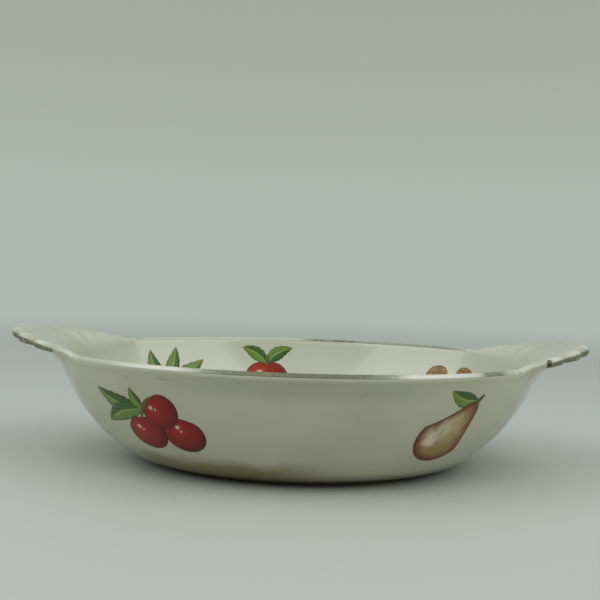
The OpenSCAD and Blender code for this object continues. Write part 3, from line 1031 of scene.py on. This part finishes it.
# The front line also carries the painted highlight on the lip.
rim_gold = {
    "front": worn_gold("worn_front_gold", 0.22, FRONT_STRETCHES, trace=0.9, highlight_share=1.0),
    "back": worn_gold("worn_back_gold", 0.14, BACK_STRETCHES, trace=0.7),
}
edge_gold = {"left": worn_gold("worn_left_edge_gold", 0.2), "right": worn_gold("worn_right_edge_gold", 0.26)}
print("golds:", ", ".join(gold.name for gold in [*rim_gold.values(), *edge_gold.values()]))

# %% Lay the gold on the rim
GOLD_FILM = 0.05 * MM
FRONT_ANGLES = (18, 130)
BACK_ANGLES = (30, 150)
RIM_SPARE = 2
GOLD_STEPS = 14
GOLD_COLUMNS = 161


def gold_section(first, last):
    """A thin closed strip over the round of the lip, from one angle to another."""
    outer = arc((0, lip_level), lip_radius + GOLD_FILM, first, last, GOLD_STEPS)
    inner = arc((0, lip_level), lip_radius - GOLD_FILM, last, first, GOLD_STEPS)
    return on_lip(outer + inner + outer[:1])


def close_ends(mesh):
    """Fill the two open ends of a turned strip, and turn all its faces outwards."""
    work = bmesh.new()
    work.from_mesh(mesh)
    bmesh.ops.holes_fill(work, edges=[edge for edge in work.edges if edge.is_boundary])
    bmesh.ops.recalc_face_normals(work, faces=work.faces)
    work.to_mesh(mesh)
    work.free()


def rim_line(side, middle, angles):
    """The line on one side of the rim, from handle to handle."""
    half = 90 - math.degrees(handle_angle) - RIM_SPARE
    line = turn_section(
        side + "_gold_line", gold_section(*angles), GOLD_COLUMNS, rim_gold[side],
        (middle - half, middle + half), UNEVENNESS,
    )
    close_ends(line.data)
    return line


for side, middle, angles in (("front", 270, FRONT_ANGLES), ("back", 90, BACK_ANGLES)):
    hand_over(rim_line(side, middle, angles), "gilding", side + "_rim_gilding")

# %% Lay the gold on the shells
FILM_FIRST = {"left": 26, "right": 33}
FILM_LAST = SHELL_ROWS - 26
FILM_ANGLES = [-60 + 80 * i / 8 for i in range(9)]


def film_section(w):
    """A thin closed strip over the edge of a shell at the share w of its width."""
    shell = Shell(w)
    outer = [shell.at(shell.nose(a, GOLD_FILM), inner=True) for a in reversed(FILM_ANGLES)]
    return outer + [shell.at(shell.nose(a, -GOLD_FILM), inner=True) for a in FILM_ANGLES]


for side in ("left", "right"):
    rows = [film_section(-1 + 2 * i / SHELL_ROWS) for i in range(FILM_FIRST[side], FILM_LAST + 1)]
    film = loft(side + "_shell_gold", rows, side == "left", edge_gold[side])
    hand_over(film, "gilding", side + "_handle_gilding")

# %% [markdown]
# ## The prints
#
# The prints are transfers: thin coloured films that are slid on to the glaze and fired. Each one is
# drawn flat first, from patches of three kinds. A round patch is a fan of rings inside an outline, a
# leaf patch is a strip that swells in its middle, and a stalk patch is a ribbon along a bent line.
# Every patch keeps its own map, so its finish knows where its middle, edge and tip are.

# %% Round patches and strips
def turned(point, degrees):
    """A point of a drawing, turned about its middle."""
    x, y = point
    a = math.radians(degrees)
    return (x * math.cos(a) - y * math.sin(a), x * math.sin(a) + y * math.cos(a))


def placed(points, place, turn):
    """Points turned and then moved to their place in the drawing."""
    return [(place[0] + x, place[1] + y) for x, y in (turned(p, turn) for p in points)]


def round_patch(outline, place, turn, rings=10):
    """Rings from the middle of an outline to its edge, with a map that fits the outline in a square."""
    count = len(outline)
    half = max(max(abs(x), abs(y)) for x, y in outline)
    flat, edge = [(0.0, 0.0)], [0.0]
    for ring in range(1, rings + 1):
        flat += [(x * ring / rings, y * ring / rings) for x, y in outline]
        edge += [ring / rings] * count
    faces = [(0, 1 + j, 1 + (j + 1) % count) for j in range(count)]
    for ring in range(rings - 1):
        a, b = 1 + ring * count, 1 + (ring + 1) * count
        faces += [(a + j, b + j, b + (j + 1) % count, a + (j + 1) % count) for j in range(count)]
    mapped = [(0.5 + x / half / 2, 0.5 + y / half / 2) for x, y in flat]
    return {"points": placed(flat, place, turn), "faces": faces, "map": mapped, "edge": edge}


def strip_patch(middle, half_widths, place, turn, across=6):
    """A ribbon along a line of points, as wide as given at each point."""
    flat, mapped, edge, faces = [], [], [], []
    last = len(middle) - 1
    for i, (x, y) in enumerate(middle):
        a, b = middle[max(0, i - 1)], middle[min(last, i + 1)]
        length = math.hypot(b[0] - a[0], b[1] - a[1])
        normal = (-(b[1] - a[1]) / length, (b[0] - a[0]) / length)
        for j in range(across + 1):
            side = 2 * j / across - 1
            flat.append((x + normal[0] * side * half_widths[i], y + normal[1] * side * half_widths[i]))
            mapped.append((i / last, j / across))
            edge.append(abs(side))
    for i in range(last):
        for j in range(across):
            a = i * (across + 1) + j
            faces.append((a, a + across + 1, a + across + 2, a + 1))
    return {"points": placed(flat, place, turn), "faces": faces, "map": mapped, "edge": edge}


# %% Leaves and stalks
LEAF_STEPS = 36
LEAF_POWER = 0.85
LEAF_POINT = 0.05
TOOTH_DEPTH = 0.13
STALK_STEPS = 14


def leaf(place, turn, length, width, bend=0.1, teeth=6):
    """A pointed leaf with a bent rib and a softly toothed edge."""
    shares = [i / LEAF_STEPS for i in range(LEAF_STEPS + 1)]
    middle = [(length * s, bend * length * math.sin(math.pi * s)) for s in shares]
    swell = [math.sin(math.pi * s ** LEAF_POWER) ** LEAF_POWER for s in shares]
    tooth = [1 - TOOTH_DEPTH * ((s * teeth) % 1.0) for s in shares]
    half_widths = [max(LEAF_POINT, width / 2 * a * b) for a, b in zip(swell, tooth)]
    return strip_patch(middle, half_widths, place, turn)


def stalk(points, width):
    """A stalk along a bent line of three points, thickest at the first."""
    a, b, c = points
    shares = [i / STALK_STEPS for i in range(STALK_STEPS + 1)]
    middle = [
        tuple((1 - s) ** 2 * a[k] + 2 * s * (1 - s) * b[k] + s * s * c[k] for k in (0, 1)) for s in shares
    ]
    return strip_patch(middle, [width * (0.65 - 0.3 * s) for s in shares], (0, 0), 0, across=2)


# %% Outlines of the fruit
OUTLINE_STEPS = 56


def outline(rule, *sizes):
    """Points round a fruit from a rule that takes an angle in radians and the fruit's sizes."""
    return [rule(2 * math.pi * i / OUTLINE_STEPS, *sizes) for i in range(OUTLINE_STEPS)]


def dent(angle, at, width):
    """1 at an angle in degrees, falling to 0 beside it."""
    away = (math.degrees(angle) - at + 180) % 360 - 180
    return math.exp(-((away / width) ** 2))


def cherry_rule(a, size):
    r = size / 2 * (1 - 0.1 * dent(a, 90, 24))
    return (1.03 * r * math.cos(a), r * math.sin(a))


def apple_rule(a, size):
    r = size / 2 * (1.02 - 0.17 * dent(a, 90, 22) - 0.07 * dent(a, 270, 16) + 0.03 * math.sin(a))
    return (1.05 * r * math.cos(a), r * math.sin(a))


def pear_rule(a, size):
    up = max(0.0, math.sin(a))
    waist = 1 - 0.62 * up ** 1.1 + 0.22 * up ** 4
    return (size / 2 * math.cos(a) * waist, size / 2 * math.sin(a) * (1 + 0.72 * up))


def plum_rule(a, length, width):
    return (length / 2 * math.cos(a), width / 2 * math.sin(a) * (1 - 0.16 * math.cos(a)))


def nut_rule(a, width, length):
    down = max(0.0, -math.sin(a))
    taper = 1 - 0.3 * down ** 2
    return (width / 2 * math.cos(a) * taper, math.sin(a) * (length * 0.72 if down else length * 0.28))


def cap_rule(a, width, height):
    return (width / 2 * math.cos(a), height * math.sin(a) * (1.0 if math.sin(a) > 0 else 0.22))


# %% [markdown]
# ## Inks
#
# A printed fruit is built from a few layers of ink: a light ground, a darker tone towards the edge,
# streaks, a thin outline and a spot left pale for the shine. Each ink reads the patch's own map and
# its share towards the edge, and breaks the steps up with noise so that they look printed by hand.

# %% Ink helpers
def new_ink(name):
    """A new ink, with its place on the patch's own map and its share towards the edge."""
    material, tree, shader = new_finish(name)
    spot = add_node(tree, "ShaderNodeUVMap", uv_map="print").outputs[0]
    fill(tree, shader, {"Roughness": 0.3, "Specular IOR Level": 0.3})
    set_gloss(tree, shader, coat=0.12)
    return material, tree, shader, spot, share_of(tree, "edge")


def near(tree, spot, place, inner, outer, wobble):
    """1 within a distance of a point of the map, falling to 0, with a ragged border."""
    away = vector_calc(tree, "DISTANCE", spot, (*place, 0))
    ragged = product(tree, calc(tree, "SUBTRACT", wobble, 0.5), 0.12)
    return ramp(tree, calc(tree, "ADD", away, ragged), outer, inner)


def outlined(tree, colour, edge, dark, start=0.9):
    """Darken a colour in a thin line along the edge."""
    return mix(tree, ramp(tree, edge, start, 0.99, 0.0, 0.5), colour, dark)


# %% Inks of fruit
LIT_SPOT = (0.36, 0.62, 0)
SHINE = ink(236, 214, 196)
SHINE_COVER = 0.85
OUTLINE_SHADE = 0.45
INK_WAVES = {"mottle": 7, "streak": 4, "leaf": 6, "stalk": 5, "scales": 11}


def fruit_ink(
    name, tones, shine, streaks=(9, 3, 1), streak_ink=None, strength=0.35, shade=(0.38, 0.72), rind=0.0
):
    """Ink for a round fruit, lit from the upper left, in a light, a middle and a dark tone."""
    light, body, dark = tones
    material, tree, shader, spot, edge = new_ink(name)
    mottle = noise(tree, spot, INK_WAVES["mottle"], 4)
    streak = noise(tree, spot, INK_WAVES["streak"], 3, stretch=streaks)
    from_light = vector_calc(tree, "DISTANCE", spot, LIT_SPOT)
    lit = calc(tree, "ADD", from_light, product(tree, mottle, 0.12))
    colour = mix(tree, ramp(tree, lit, 0.08, 0.36), light, body)
    colour = mix(tree, ramp(tree, lit, *shade), colour, dark)
    colour = mix(tree, ramp(tree, streak, 0.5, 0.72, 0.0, strength), colour, streak_ink or light)
    rough_edge = calc(tree, "ADD", edge, product(tree, calc(tree, "SUBTRACT", streak, 0.5), 0.5))
    colour = mix(tree, ramp(tree, rough_edge, 0.62, 0.95, 0.0, rind), colour, dark)
    colour = outlined(tree, colour, edge, (*[share * OUTLINE_SHADE for share in dark[:3]], 1.0))
    for place, inner, outer in shine:
        colour = layer(tree, colour, near(tree, spot, place, inner, outer, mottle), SHINE_COVER, SHINE)
    fill(tree, shader, {"Base Color": colour})
    return material


# %% Inks of leaves, stalks and caps
VEINS = 7
VEIN_SLANT = 1.6
VEIN_COVER = 0.55
LEAF_TIP = ink(132, 118, 52)
LEAF_EDGE = ink(28, 46, 18)
STALK_EDGE = ink(48, 34, 18)
CAP_EDGE = ink(44, 28, 14)


def leaf_ink(name, pale, deep, rib):
    """Ink for a leaf: one half lighter, side veins, a pale rib and a dark edge."""
    material, tree, shader, spot, edge = new_ink(name)
    along, across = add_node(tree, "ShaderNodeSeparateXYZ", {0: spot}).outputs[:2]
    mottle = noise(tree, spot, INK_WAVES["leaf"], 4, stretch=(2, 1, 1))
    half = ramp(tree, calc(tree, "ADD", across, product(tree, mottle, 0.3)), 0.52, 0.74)
    colour = mix(tree, half, deep, pale)
    slant = calc(tree, "SUBTRACT", product(tree, along, VEINS), product(tree, edge, VEIN_SLANT))
    vein = ramp(tree, calc(tree, "PINGPONG", slant, 0.5), 0.07, 0.02)
    colour = layer(tree, colour, vein, VEIN_COVER, rib)
    colour = mix(tree, ramp(tree, edge, 0.14, 0.05), colour, rib)
    colour = mix(tree, ramp(tree, along, 0.72, 1.0, 0.0, 0.5), colour, LEAF_TIP)
    fill(tree, shader, {"Base Color": outlined(tree, colour, edge, LEAF_EDGE, 0.78)})
    return material


def stalk_ink(name, light, dark):
    """Ink for a stalk, with a grain along it."""
    material, tree, shader, spot, edge = new_ink(name)
    grain = noise(tree, spot, INK_WAVES["stalk"], 4, stretch=(1, 6, 1))
    colour = mix(tree, ramp(tree, grain, 0.35, 0.65), light, dark)
    fill(tree, shader, {"Base Color": outlined(tree, colour, edge, STALK_EDGE, 0.6)})
    return material


def cap_ink(name, light, dark):
    """Ink for an acorn's cap, with rows of small scales."""
    material, tree, shader, spot, edge = new_ink(name)
    cells = add_node(tree, "ShaderNodeTexVoronoi", {"Vector": spot, "Scale": INK_WAVES["scales"]})
    colour = mix(tree, ramp(tree, cells.outputs["Distance"], 0.15, 0.6), light, dark)
    fill(tree, shader, {"Base Color": outlined(tree, colour, edge, CAP_EDGE, 0.86)})
    return material


# %% Mix the inks
inks = {
    "cherry": fruit_ink(
        "cherry_ink", (ink(176, 40, 24), ink(146, 22, 13), ink(94, 13, 9)),
        [((0.33, 0.68), 0.03, 0.08), ((0.43, 0.6), 0.015, 0.045)],
    ),
    "pear": fruit_ink(
        "pear_ink", (ink(212, 204, 172), ink(172, 140, 88), ink(112, 46, 24)),
        [((0.4, 0.42), 0.03, 0.1)], streaks=(12, 2, 1), streak_ink=ink(122, 104, 54), strength=0.6,
        shade=(0.3, 0.66), rind=0.85,
    ),
    "plum": fruit_ink(
        "plum_ink", (ink(206, 92, 52), ink(168, 48, 30), ink(96, 20, 18)), [((0.36, 0.6), 0.03, 0.1)],
    ),
    "apple": fruit_ink(
        "apple_ink", (ink(186, 66, 34), ink(152, 32, 17), ink(98, 18, 12)),
        [((0.34, 0.68), 0.03, 0.09)], streaks=(10, 1, 1), streak_ink=ink(194, 116, 62),
    ),
    "nut": fruit_ink(
        "acorn_ink", (ink(204, 168, 102), ink(170, 122, 62), ink(112, 72, 34)),
        [((0.38, 0.5), 0.02, 0.07)], streaks=(14, 1, 1), streak_ink=ink(132, 92, 44), strength=0.4,
    ),
    "cap": cap_ink("acorn_cap_ink", ink(196, 160, 88), ink(146, 106, 54)),
    "leaf": leaf_ink("leaf_ink", ink(108, 142, 60), ink(56, 94, 38), ink(152, 168, 96)),
    "stalk": stalk_ink("stalk_ink", ink(120, 112, 56), ink(76, 62, 30)),
}
print("inks:", ", ".join(inks))

# %% [markdown]
# ## Drawing the prints
#
# Each drawing lists its patches from the lowest layer to the highest, in millimetres, with x to the
# right and y up the wall. The fruit is of a common kind: cherries, a pear, a sprig with a plum, an
# apple and acorns. All share the same few patches, and most have a leaf or more.

# %% Draw
PEAR_TURN = -34
CAP_RISE = 0.2
CAP_WIDTH = 1.06
CAP_HEIGHT = 0.34


def cherries():
    return [
        ("leaf", leaf((0, 7), 165, 28, 11)),
        ("leaf", leaf((0, 7), 205, 28, 10, -0.1)),
        ("leaf", leaf((0, 7), 118, 12, 6)),
        ("cherry", round_patch(outline(cherry_rule, 20), (17.5, -6), -20)),
        ("cherry", round_patch(outline(cherry_rule, 20), (-2, -6.5), 8)),
        ("cherry", round_patch(outline(cherry_rule, 18), (8.5, 6.5), 24)),
        ("stalk", stalk([(0, 7), (-2, 6), (-2.4, 1.6)], 1.5)),
        ("stalk", stalk([(0, 7), (3, 13.6), (6, 13.4)], 1.5)),
    ]


def pear():
    foot, bend, tip = [turned(p, PEAR_TURN) for p in ((0, 14.5), (0, 18), (0.8, 20.5))]
    return [
        ("leaf", leaf(turned((0, 17), PEAR_TURN), 161, 17, 8)),
        ("pear", round_patch(outline(pear_rule, 27), turned((0, -6.5), PEAR_TURN), PEAR_TURN)),
        ("stalk", stalk([foot, bend, tip], 1.9)),
    ]


def plum_sprig():
    return [
        ("leaf", leaf((-12, -5), 160, 18, 9)),
        ("leaf", leaf((-12, -5), 112, 21, 10)),
        ("leaf", leaf((-12, -5), 62, 24, 10, -0.08)),
        ("leaf", leaf((-10, -4), 22, 30, 10, -0.06)),
        ("plum", round_patch(outline(plum_rule, 28, 11.5), (0, -9.5), -12)),
        ("stalk", stalk([(-15, -3), (-14, -6), (-12, -7.5)], 1.6)),
    ]


def apple():
    return [
        ("leaf", leaf((0, 6), 32, 19, 9)),
        ("leaf", leaf((0, 6), 146, 18, 9, -0.1)),
        ("apple", round_patch(outline(apple_rule, 25), (0, -5), 0)),
        ("stalk", stalk([(0, 4.4), (0.2, 8), (1.8, 10.5)], 1.7)),
    ]


def acorn(place, turn, width, length):
    cap = outline(cap_rule, width * CAP_WIDTH, length * CAP_HEIGHT)
    cap_place = placed([(0, CAP_RISE * length)], place, turn)[0]
    return [
        ("nut", round_patch(outline(nut_rule, width, length), place, turn)),
        ("cap", round_patch(cap, cap_place, turn)),
    ]


def acorns():
    return acorn((-10.6, -0.6), 14, 16, 18) + acorn((10.4, 0.4), -20, 15, 17)


print("patches in the cherries:", len(cherries()), "and in the plum sprig:", len(plum_sprig()))

# %% [markdown]
# ## Laying the prints on the wall
#
# A flat drawing has to follow a wall that is curved both ways. Shrinkwrap could press it on, but a
# node tree with a Raycast node keeps the drawing square to the wall: each vertex is sent along the
# wall's normal in the middle of the print until it meets the bowl, and is lifted by its layer. The
# frame's film gives the place and the size, so the print lies where the frame has it.

# %% Build the laying tree
RAY_LENGTH = 200 * MM


def laying_tree():
    """The shape tree that lays a flat patch on the wall."""
    tree, given = start_tree("laid_print", [
        ("Geometry", "Geometry"), ("Wall", "Object"), ("Middle", "Vector"), ("Right", "Vector"),
        ("Up", "Vector"), ("Out", "Vector"), ("Clear", "Float"), ("Material", "Material"),
    ])
    wall_shape = add_node(tree, "GeometryNodeObjectInfo", {"Object": given["Wall"]}).outputs["Geometry"]
    flat = add_node(tree, "GeometryNodeInputPosition").outputs[0]
    x, y, lift = add_node(tree, "ShaderNodeSeparateXYZ", {0: flat}).outputs
    start = given["Middle"]
    for direction, distance in (("Right", x), ("Up", y), ("Out", given["Clear"])):
        start = vector_calc(tree, "ADD", start, vector_calc(tree, "MULTIPLY", given[direction], distance))
    inwards = vector_calc(tree, "MULTIPLY", given["Out"], (-1, -1, -1))
    rays = add_node(tree, "GeometryNodeRaycast", {
        "Target Geometry": wall_shape, "Source Position": start, "Ray Direction": inwards,
        "Ray Length": RAY_LENGTH,
    }).outputs
    raised = vector_calc(tree, "MULTIPLY", rays["Hit Normal"], lift)
    place = vector_calc(tree, "ADD", rays["Hit Position"], raised)
    moved = {"Geometry": given["Geometry"], "Position": place}
    shape = add_node(tree, "GeometryNodeSetPosition", moved).outputs[0]
    end_tree(tree, shape, given["Material"])
    return tree


laid_print = laying_tree()
print("nodes in the laying tree:", len(laid_print.nodes))

# %% Find the wall behind a film
body_rays = BVHTree.FromObject(bowl, bpy.context.evaluated_depsgraph_get())


def wall_frame(node):
    """The middle of a film and the directions right, up and out of the wall there."""
    corners = [v.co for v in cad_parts[node].data.vertices]
    middle = sum(corners, Vector()) / len(corners)
    middle, out = body_rays.find_nearest(middle)[:2]
    up = (Vector((0, 0, 1)) - out.z * out).normalized()
    return middle, up.cross(out), up, out, corners


def flat_mesh(name, patch, fit, lift):
    """A patch as a flat mesh, fitted to its film, with its map and its share towards the edge."""
    mesh = bpy.data.meshes.new(name)
    mesh.from_pydata([(*fit(p), lift) for p in patch["points"]], [], patch["faces"])
    add_shares(mesh, "edge", patch["edge"])
    own_map = mesh.uv_layers.new(name="print")
    for loop in mesh.loops:
        own_map.data[loop.index].uv = patch["map"][loop.vertex_index]
    return mesh


def join(name, parts):
    """Join meshes into the first one."""
    with bpy.context.temp_override(active_object=parts[0], selected_editable_objects=parts):
        bpy.ops.object.join()
    parts[0].name = name
    return parts[0]


# %% Lay a print
FIRST_LIFT = 0.02 * MM
LAYER_LIFT = 0.014 * MM
FILM = 0.08 * MM
RAY_CLEAR = 12 * MM


def lay_print(name, drawing, node, slot):
    """Fit a drawing to a film of the frame, lay its patches on the wall and give them thickness."""
    middle, right, up, out, corners = wall_frame(node)
    across = [(c - middle).dot(right) for c in corners]
    along = [(c - middle).dot(up) for c in corners]
    flat = [p for _, patch in drawing for p in patch["points"]]
    xs, ys = [p[0] for p in flat], [p[1] for p in flat]
    wide = (max(across) - min(across)) / (max(xs) - min(xs))
    tall = (max(along) - min(along)) / (max(ys) - min(ys))

    def fit(point):
        return min(across) + (point[0] - min(xs)) * wide, min(along) + (point[1] - min(ys)) * tall

    parts = []
    for rank, (kind, patch) in enumerate(drawing):
        mesh = flat_mesh(name, patch, fit, FIRST_LIFT + rank * LAYER_LIFT)
        parts.append(grow(name, laid_print, {
            "Wall": bowl, "Middle": middle, "Right": right, "Up": up, "Out": out,
            "Clear": RAY_CLEAR, "Material": inks[kind],
        }, mesh))
    piece = join(name, parts)
    film = piece.modifiers.new("film", "SOLIDIFY")
    film.thickness = FILM
    film.offset = -1
    hand_over(plain_mesh(piece), slot, node)


# %% Lay all prints
PRINTS = [
    ("front_cherry_print", cherries, "front_left_transfer", "red_print"),
    ("front_pear_print", pear, "front_right_transfer", "ochre_print"),
    ("back_pear_print", pear, "back_left_transfer", "ochre_print"),
    ("back_cherry_print", cherries, "back_right_transfer", "red_print"),
    ("inside_back_plum_print", plum_sprig, "inside_back_left_transfer", "green_print"),
    ("inside_back_apple_print", apple, "inside_back_middle_transfer", "red_print"),
    ("inside_back_acorn_print", acorns, "inside_back_right_transfer", "ochre_print"),
    ("inside_front_acorn_print", acorns, "inside_front_left_transfer", "ochre_print"),
    ("inside_front_plum_print", plum_sprig, "inside_front_right_transfer", "green_print"),
]
for name, draw, node, slot in PRINTS:
    lay_print(name, draw(), node, slot)

# %% [markdown]
# ## Floor, light and camera
#
# The dish stands on a pale floor under soft light. Two softboxes stand at the left and right and
# leave the two bright patches inside the back wall, and a wide one hangs over the back. Low in front
# the room is dark, so the front wall, which leans over, stays in soft shade. Far from the dish the
# floor fades into the backdrop. The camera looks from the front, a little above the rim.

# %% Floor
FLOOR = ink(205, 207, 202)
HORIZON = ink(177, 184, 177)
FLOOR_REACH = 2.5
FLOOR_SIDES = 96
FADE = (0.35, 1.3)


def pale_floor():
    """Matt floor that fades, to the camera only, into the colour of the horizon."""
    material, tree, shader = new_finish("pale_floor")
    fill(tree, shader, {"Base Color": FLOOR, "Roughness": 0.7})
    place = object_place(tree)[0]
    away = ramp(tree, vector_calc(tree, "LENGTH", place), *FADE)
    seen = add_node(tree, "ShaderNodeLightPath").outputs["Is Camera Ray"]
    glow = add_node(tree, "ShaderNodeEmission", {"Color": HORIZON}).outputs[0]
    blend = {0: product(tree, away, seen), 1: shader.outputs[0], 2: glow}
    surface = add_node(tree, "ShaderNodeMixShader", blend).outputs[0]
    tree.links.new(surface, tree.nodes["Material Output"].inputs["Surface"])
    return material


def make_floor():
    turns = [2 * math.pi * i / FLOOR_SIDES for i in range(FLOOR_SIDES)]
    edge = [(FLOOR_REACH * math.cos(a), FLOOR_REACH * math.sin(a), 0) for a in turns]
    mesh = bpy.data.meshes.new("floor")
    mesh.from_pydata(edge, [], [tuple(range(FLOOR_SIDES))])
    mesh.materials.append(pale_floor())
    new_piece("floor", mesh)


make_floor()
print("floor reaches", FLOOR_REACH, "m and fades from", FADE[0], "to", FADE[1], "m")

# %% Backdrop and soft light
BACKDROP = ink(164, 170, 161)
BACKDROP_RISE = (0.0, 0.33)
TINT = (0.955, 1.0, 0.985)
SOFT_LIGHT = 0.285
DARK_SHARE = 0.9
DARK_SIDE = (0.1, -0.7)
DARK_TOP = (0.65, 0.25)


def make_world():
    """The backdrop to the camera and in reflections, and a soft light for everything else.

    Low in front the light is weaker by a share, because that side of the room is dark.
    """
    world = bpy.data.worlds.new("studio")
    world.use_nodes = True
    bpy.context.scene.world = world
    tree = world.node_tree
    tree.nodes.clear()
    path = add_node(tree, "ShaderNodeLightPath").outputs
    seen = calc(tree, "MAXIMUM", path["Is Camera Ray"], path["Is Glossy Ray"])
    seen = calc(tree, "MAXIMUM", seen, path["Is Transmission Ray"])
    direction = add_node(tree, "ShaderNodeTexCoord").outputs["Generated"]
    axes = add_node(tree, "ShaderNodeSeparateXYZ", {0: direction}).outputs
    low_front = product(tree, ramp(tree, axes["Y"], *DARK_SIDE), ramp(tree, axes["Z"], *DARK_TOP))
    lit = calc(tree, "SUBTRACT", 1.0, product(tree, low_front, DARK_SHARE))
    soft = {"Color": (*TINT, 1.0), "Strength": product(tree, lit, SOFT_LIGHT)}
    shown = {"Color": mix(tree, ramp(tree, axes["Z"], *BACKDROP_RISE), HORIZON, BACKDROP), "Strength": 1.0}
    lights = [add_node(tree, "ShaderNodeBackground", inputs).outputs[0] for inputs in (soft, shown)]
    blend = add_node(tree, "ShaderNodeMixShader", {0: seen, 1: lights[0], 2: lights[1]})
    add_node(tree, "ShaderNodeOutputWorld", {0: blend.outputs[0]})


make_world()
print("soft light:", SOFT_LIGHT, "and low in front:", round(SOFT_LIGHT * (1 - DARK_SHARE), 4))

# %% Softboxes
def softbox(name, azimuth, elevation, distance, size, power):
    """A square lamp that faces the dish, placed by compass turn from the front and by height."""
    lamp = bpy.data.lights.new(name, "AREA")
    lamp.size = size
    lamp.energy = power
    lamp.color = TINT
    a, e = math.radians(azimuth), math.radians(elevation)
    direction = Vector((math.sin(a) * math.cos(e), -math.cos(a) * math.cos(e), math.sin(e)))
    facing = direction.to_track_quat("Z", "Y").to_matrix().to_4x4()
    new_piece(name, lamp).matrix_world = Matrix.Translation(direction * distance) @ facing
    print(name, "at", [round(x, 2) for x in direction * distance], "with", power, "W")


softbox("left_softbox", azimuth=-59, elevation=46, distance=1.1, size=1.0, power=4.6)
softbox("right_softbox", azimuth=59, elevation=46, distance=1.1, size=1.0, power=4.6)
softbox("top_softbox", azimuth=180, elevation=68, distance=1.4, size=1.8, power=2.4)

# %% Camera
CAMERA_PLACE = Vector((-8.2, -408.9, 93.7)) * MM
CAMERA_ORBIT = math.radians(2.6)
CAMERA_LENS = 48.24
CAMERA_YAW = math.radians(1.15)
CAMERA_PITCH = math.radians(1.82)
CAMERA_ROLL = math.radians(1.78)

lens = bpy.data.cameras.new("camera")
lens.lens = CAMERA_LENS
lens.clip_start = 10 * MM
camera = new_piece("camera", lens)
camera.matrix_world = (
    Matrix.Rotation(CAMERA_ORBIT, 4, "Z")
    @ Matrix.Translation(CAMERA_PLACE)
    @ Matrix.Rotation(-CAMERA_YAW, 4, "Z")
    @ Matrix.Rotation(math.pi / 2 - CAMERA_PITCH, 4, "X")
    @ Matrix.Rotation(CAMERA_ROLL, 4, "Z")
)
bpy.context.scene.camera = camera
bpy.context.scene.view_settings.view_transform = "Standard"
print("camera at", [round(x, 3) for x in camera.matrix_world.translation])
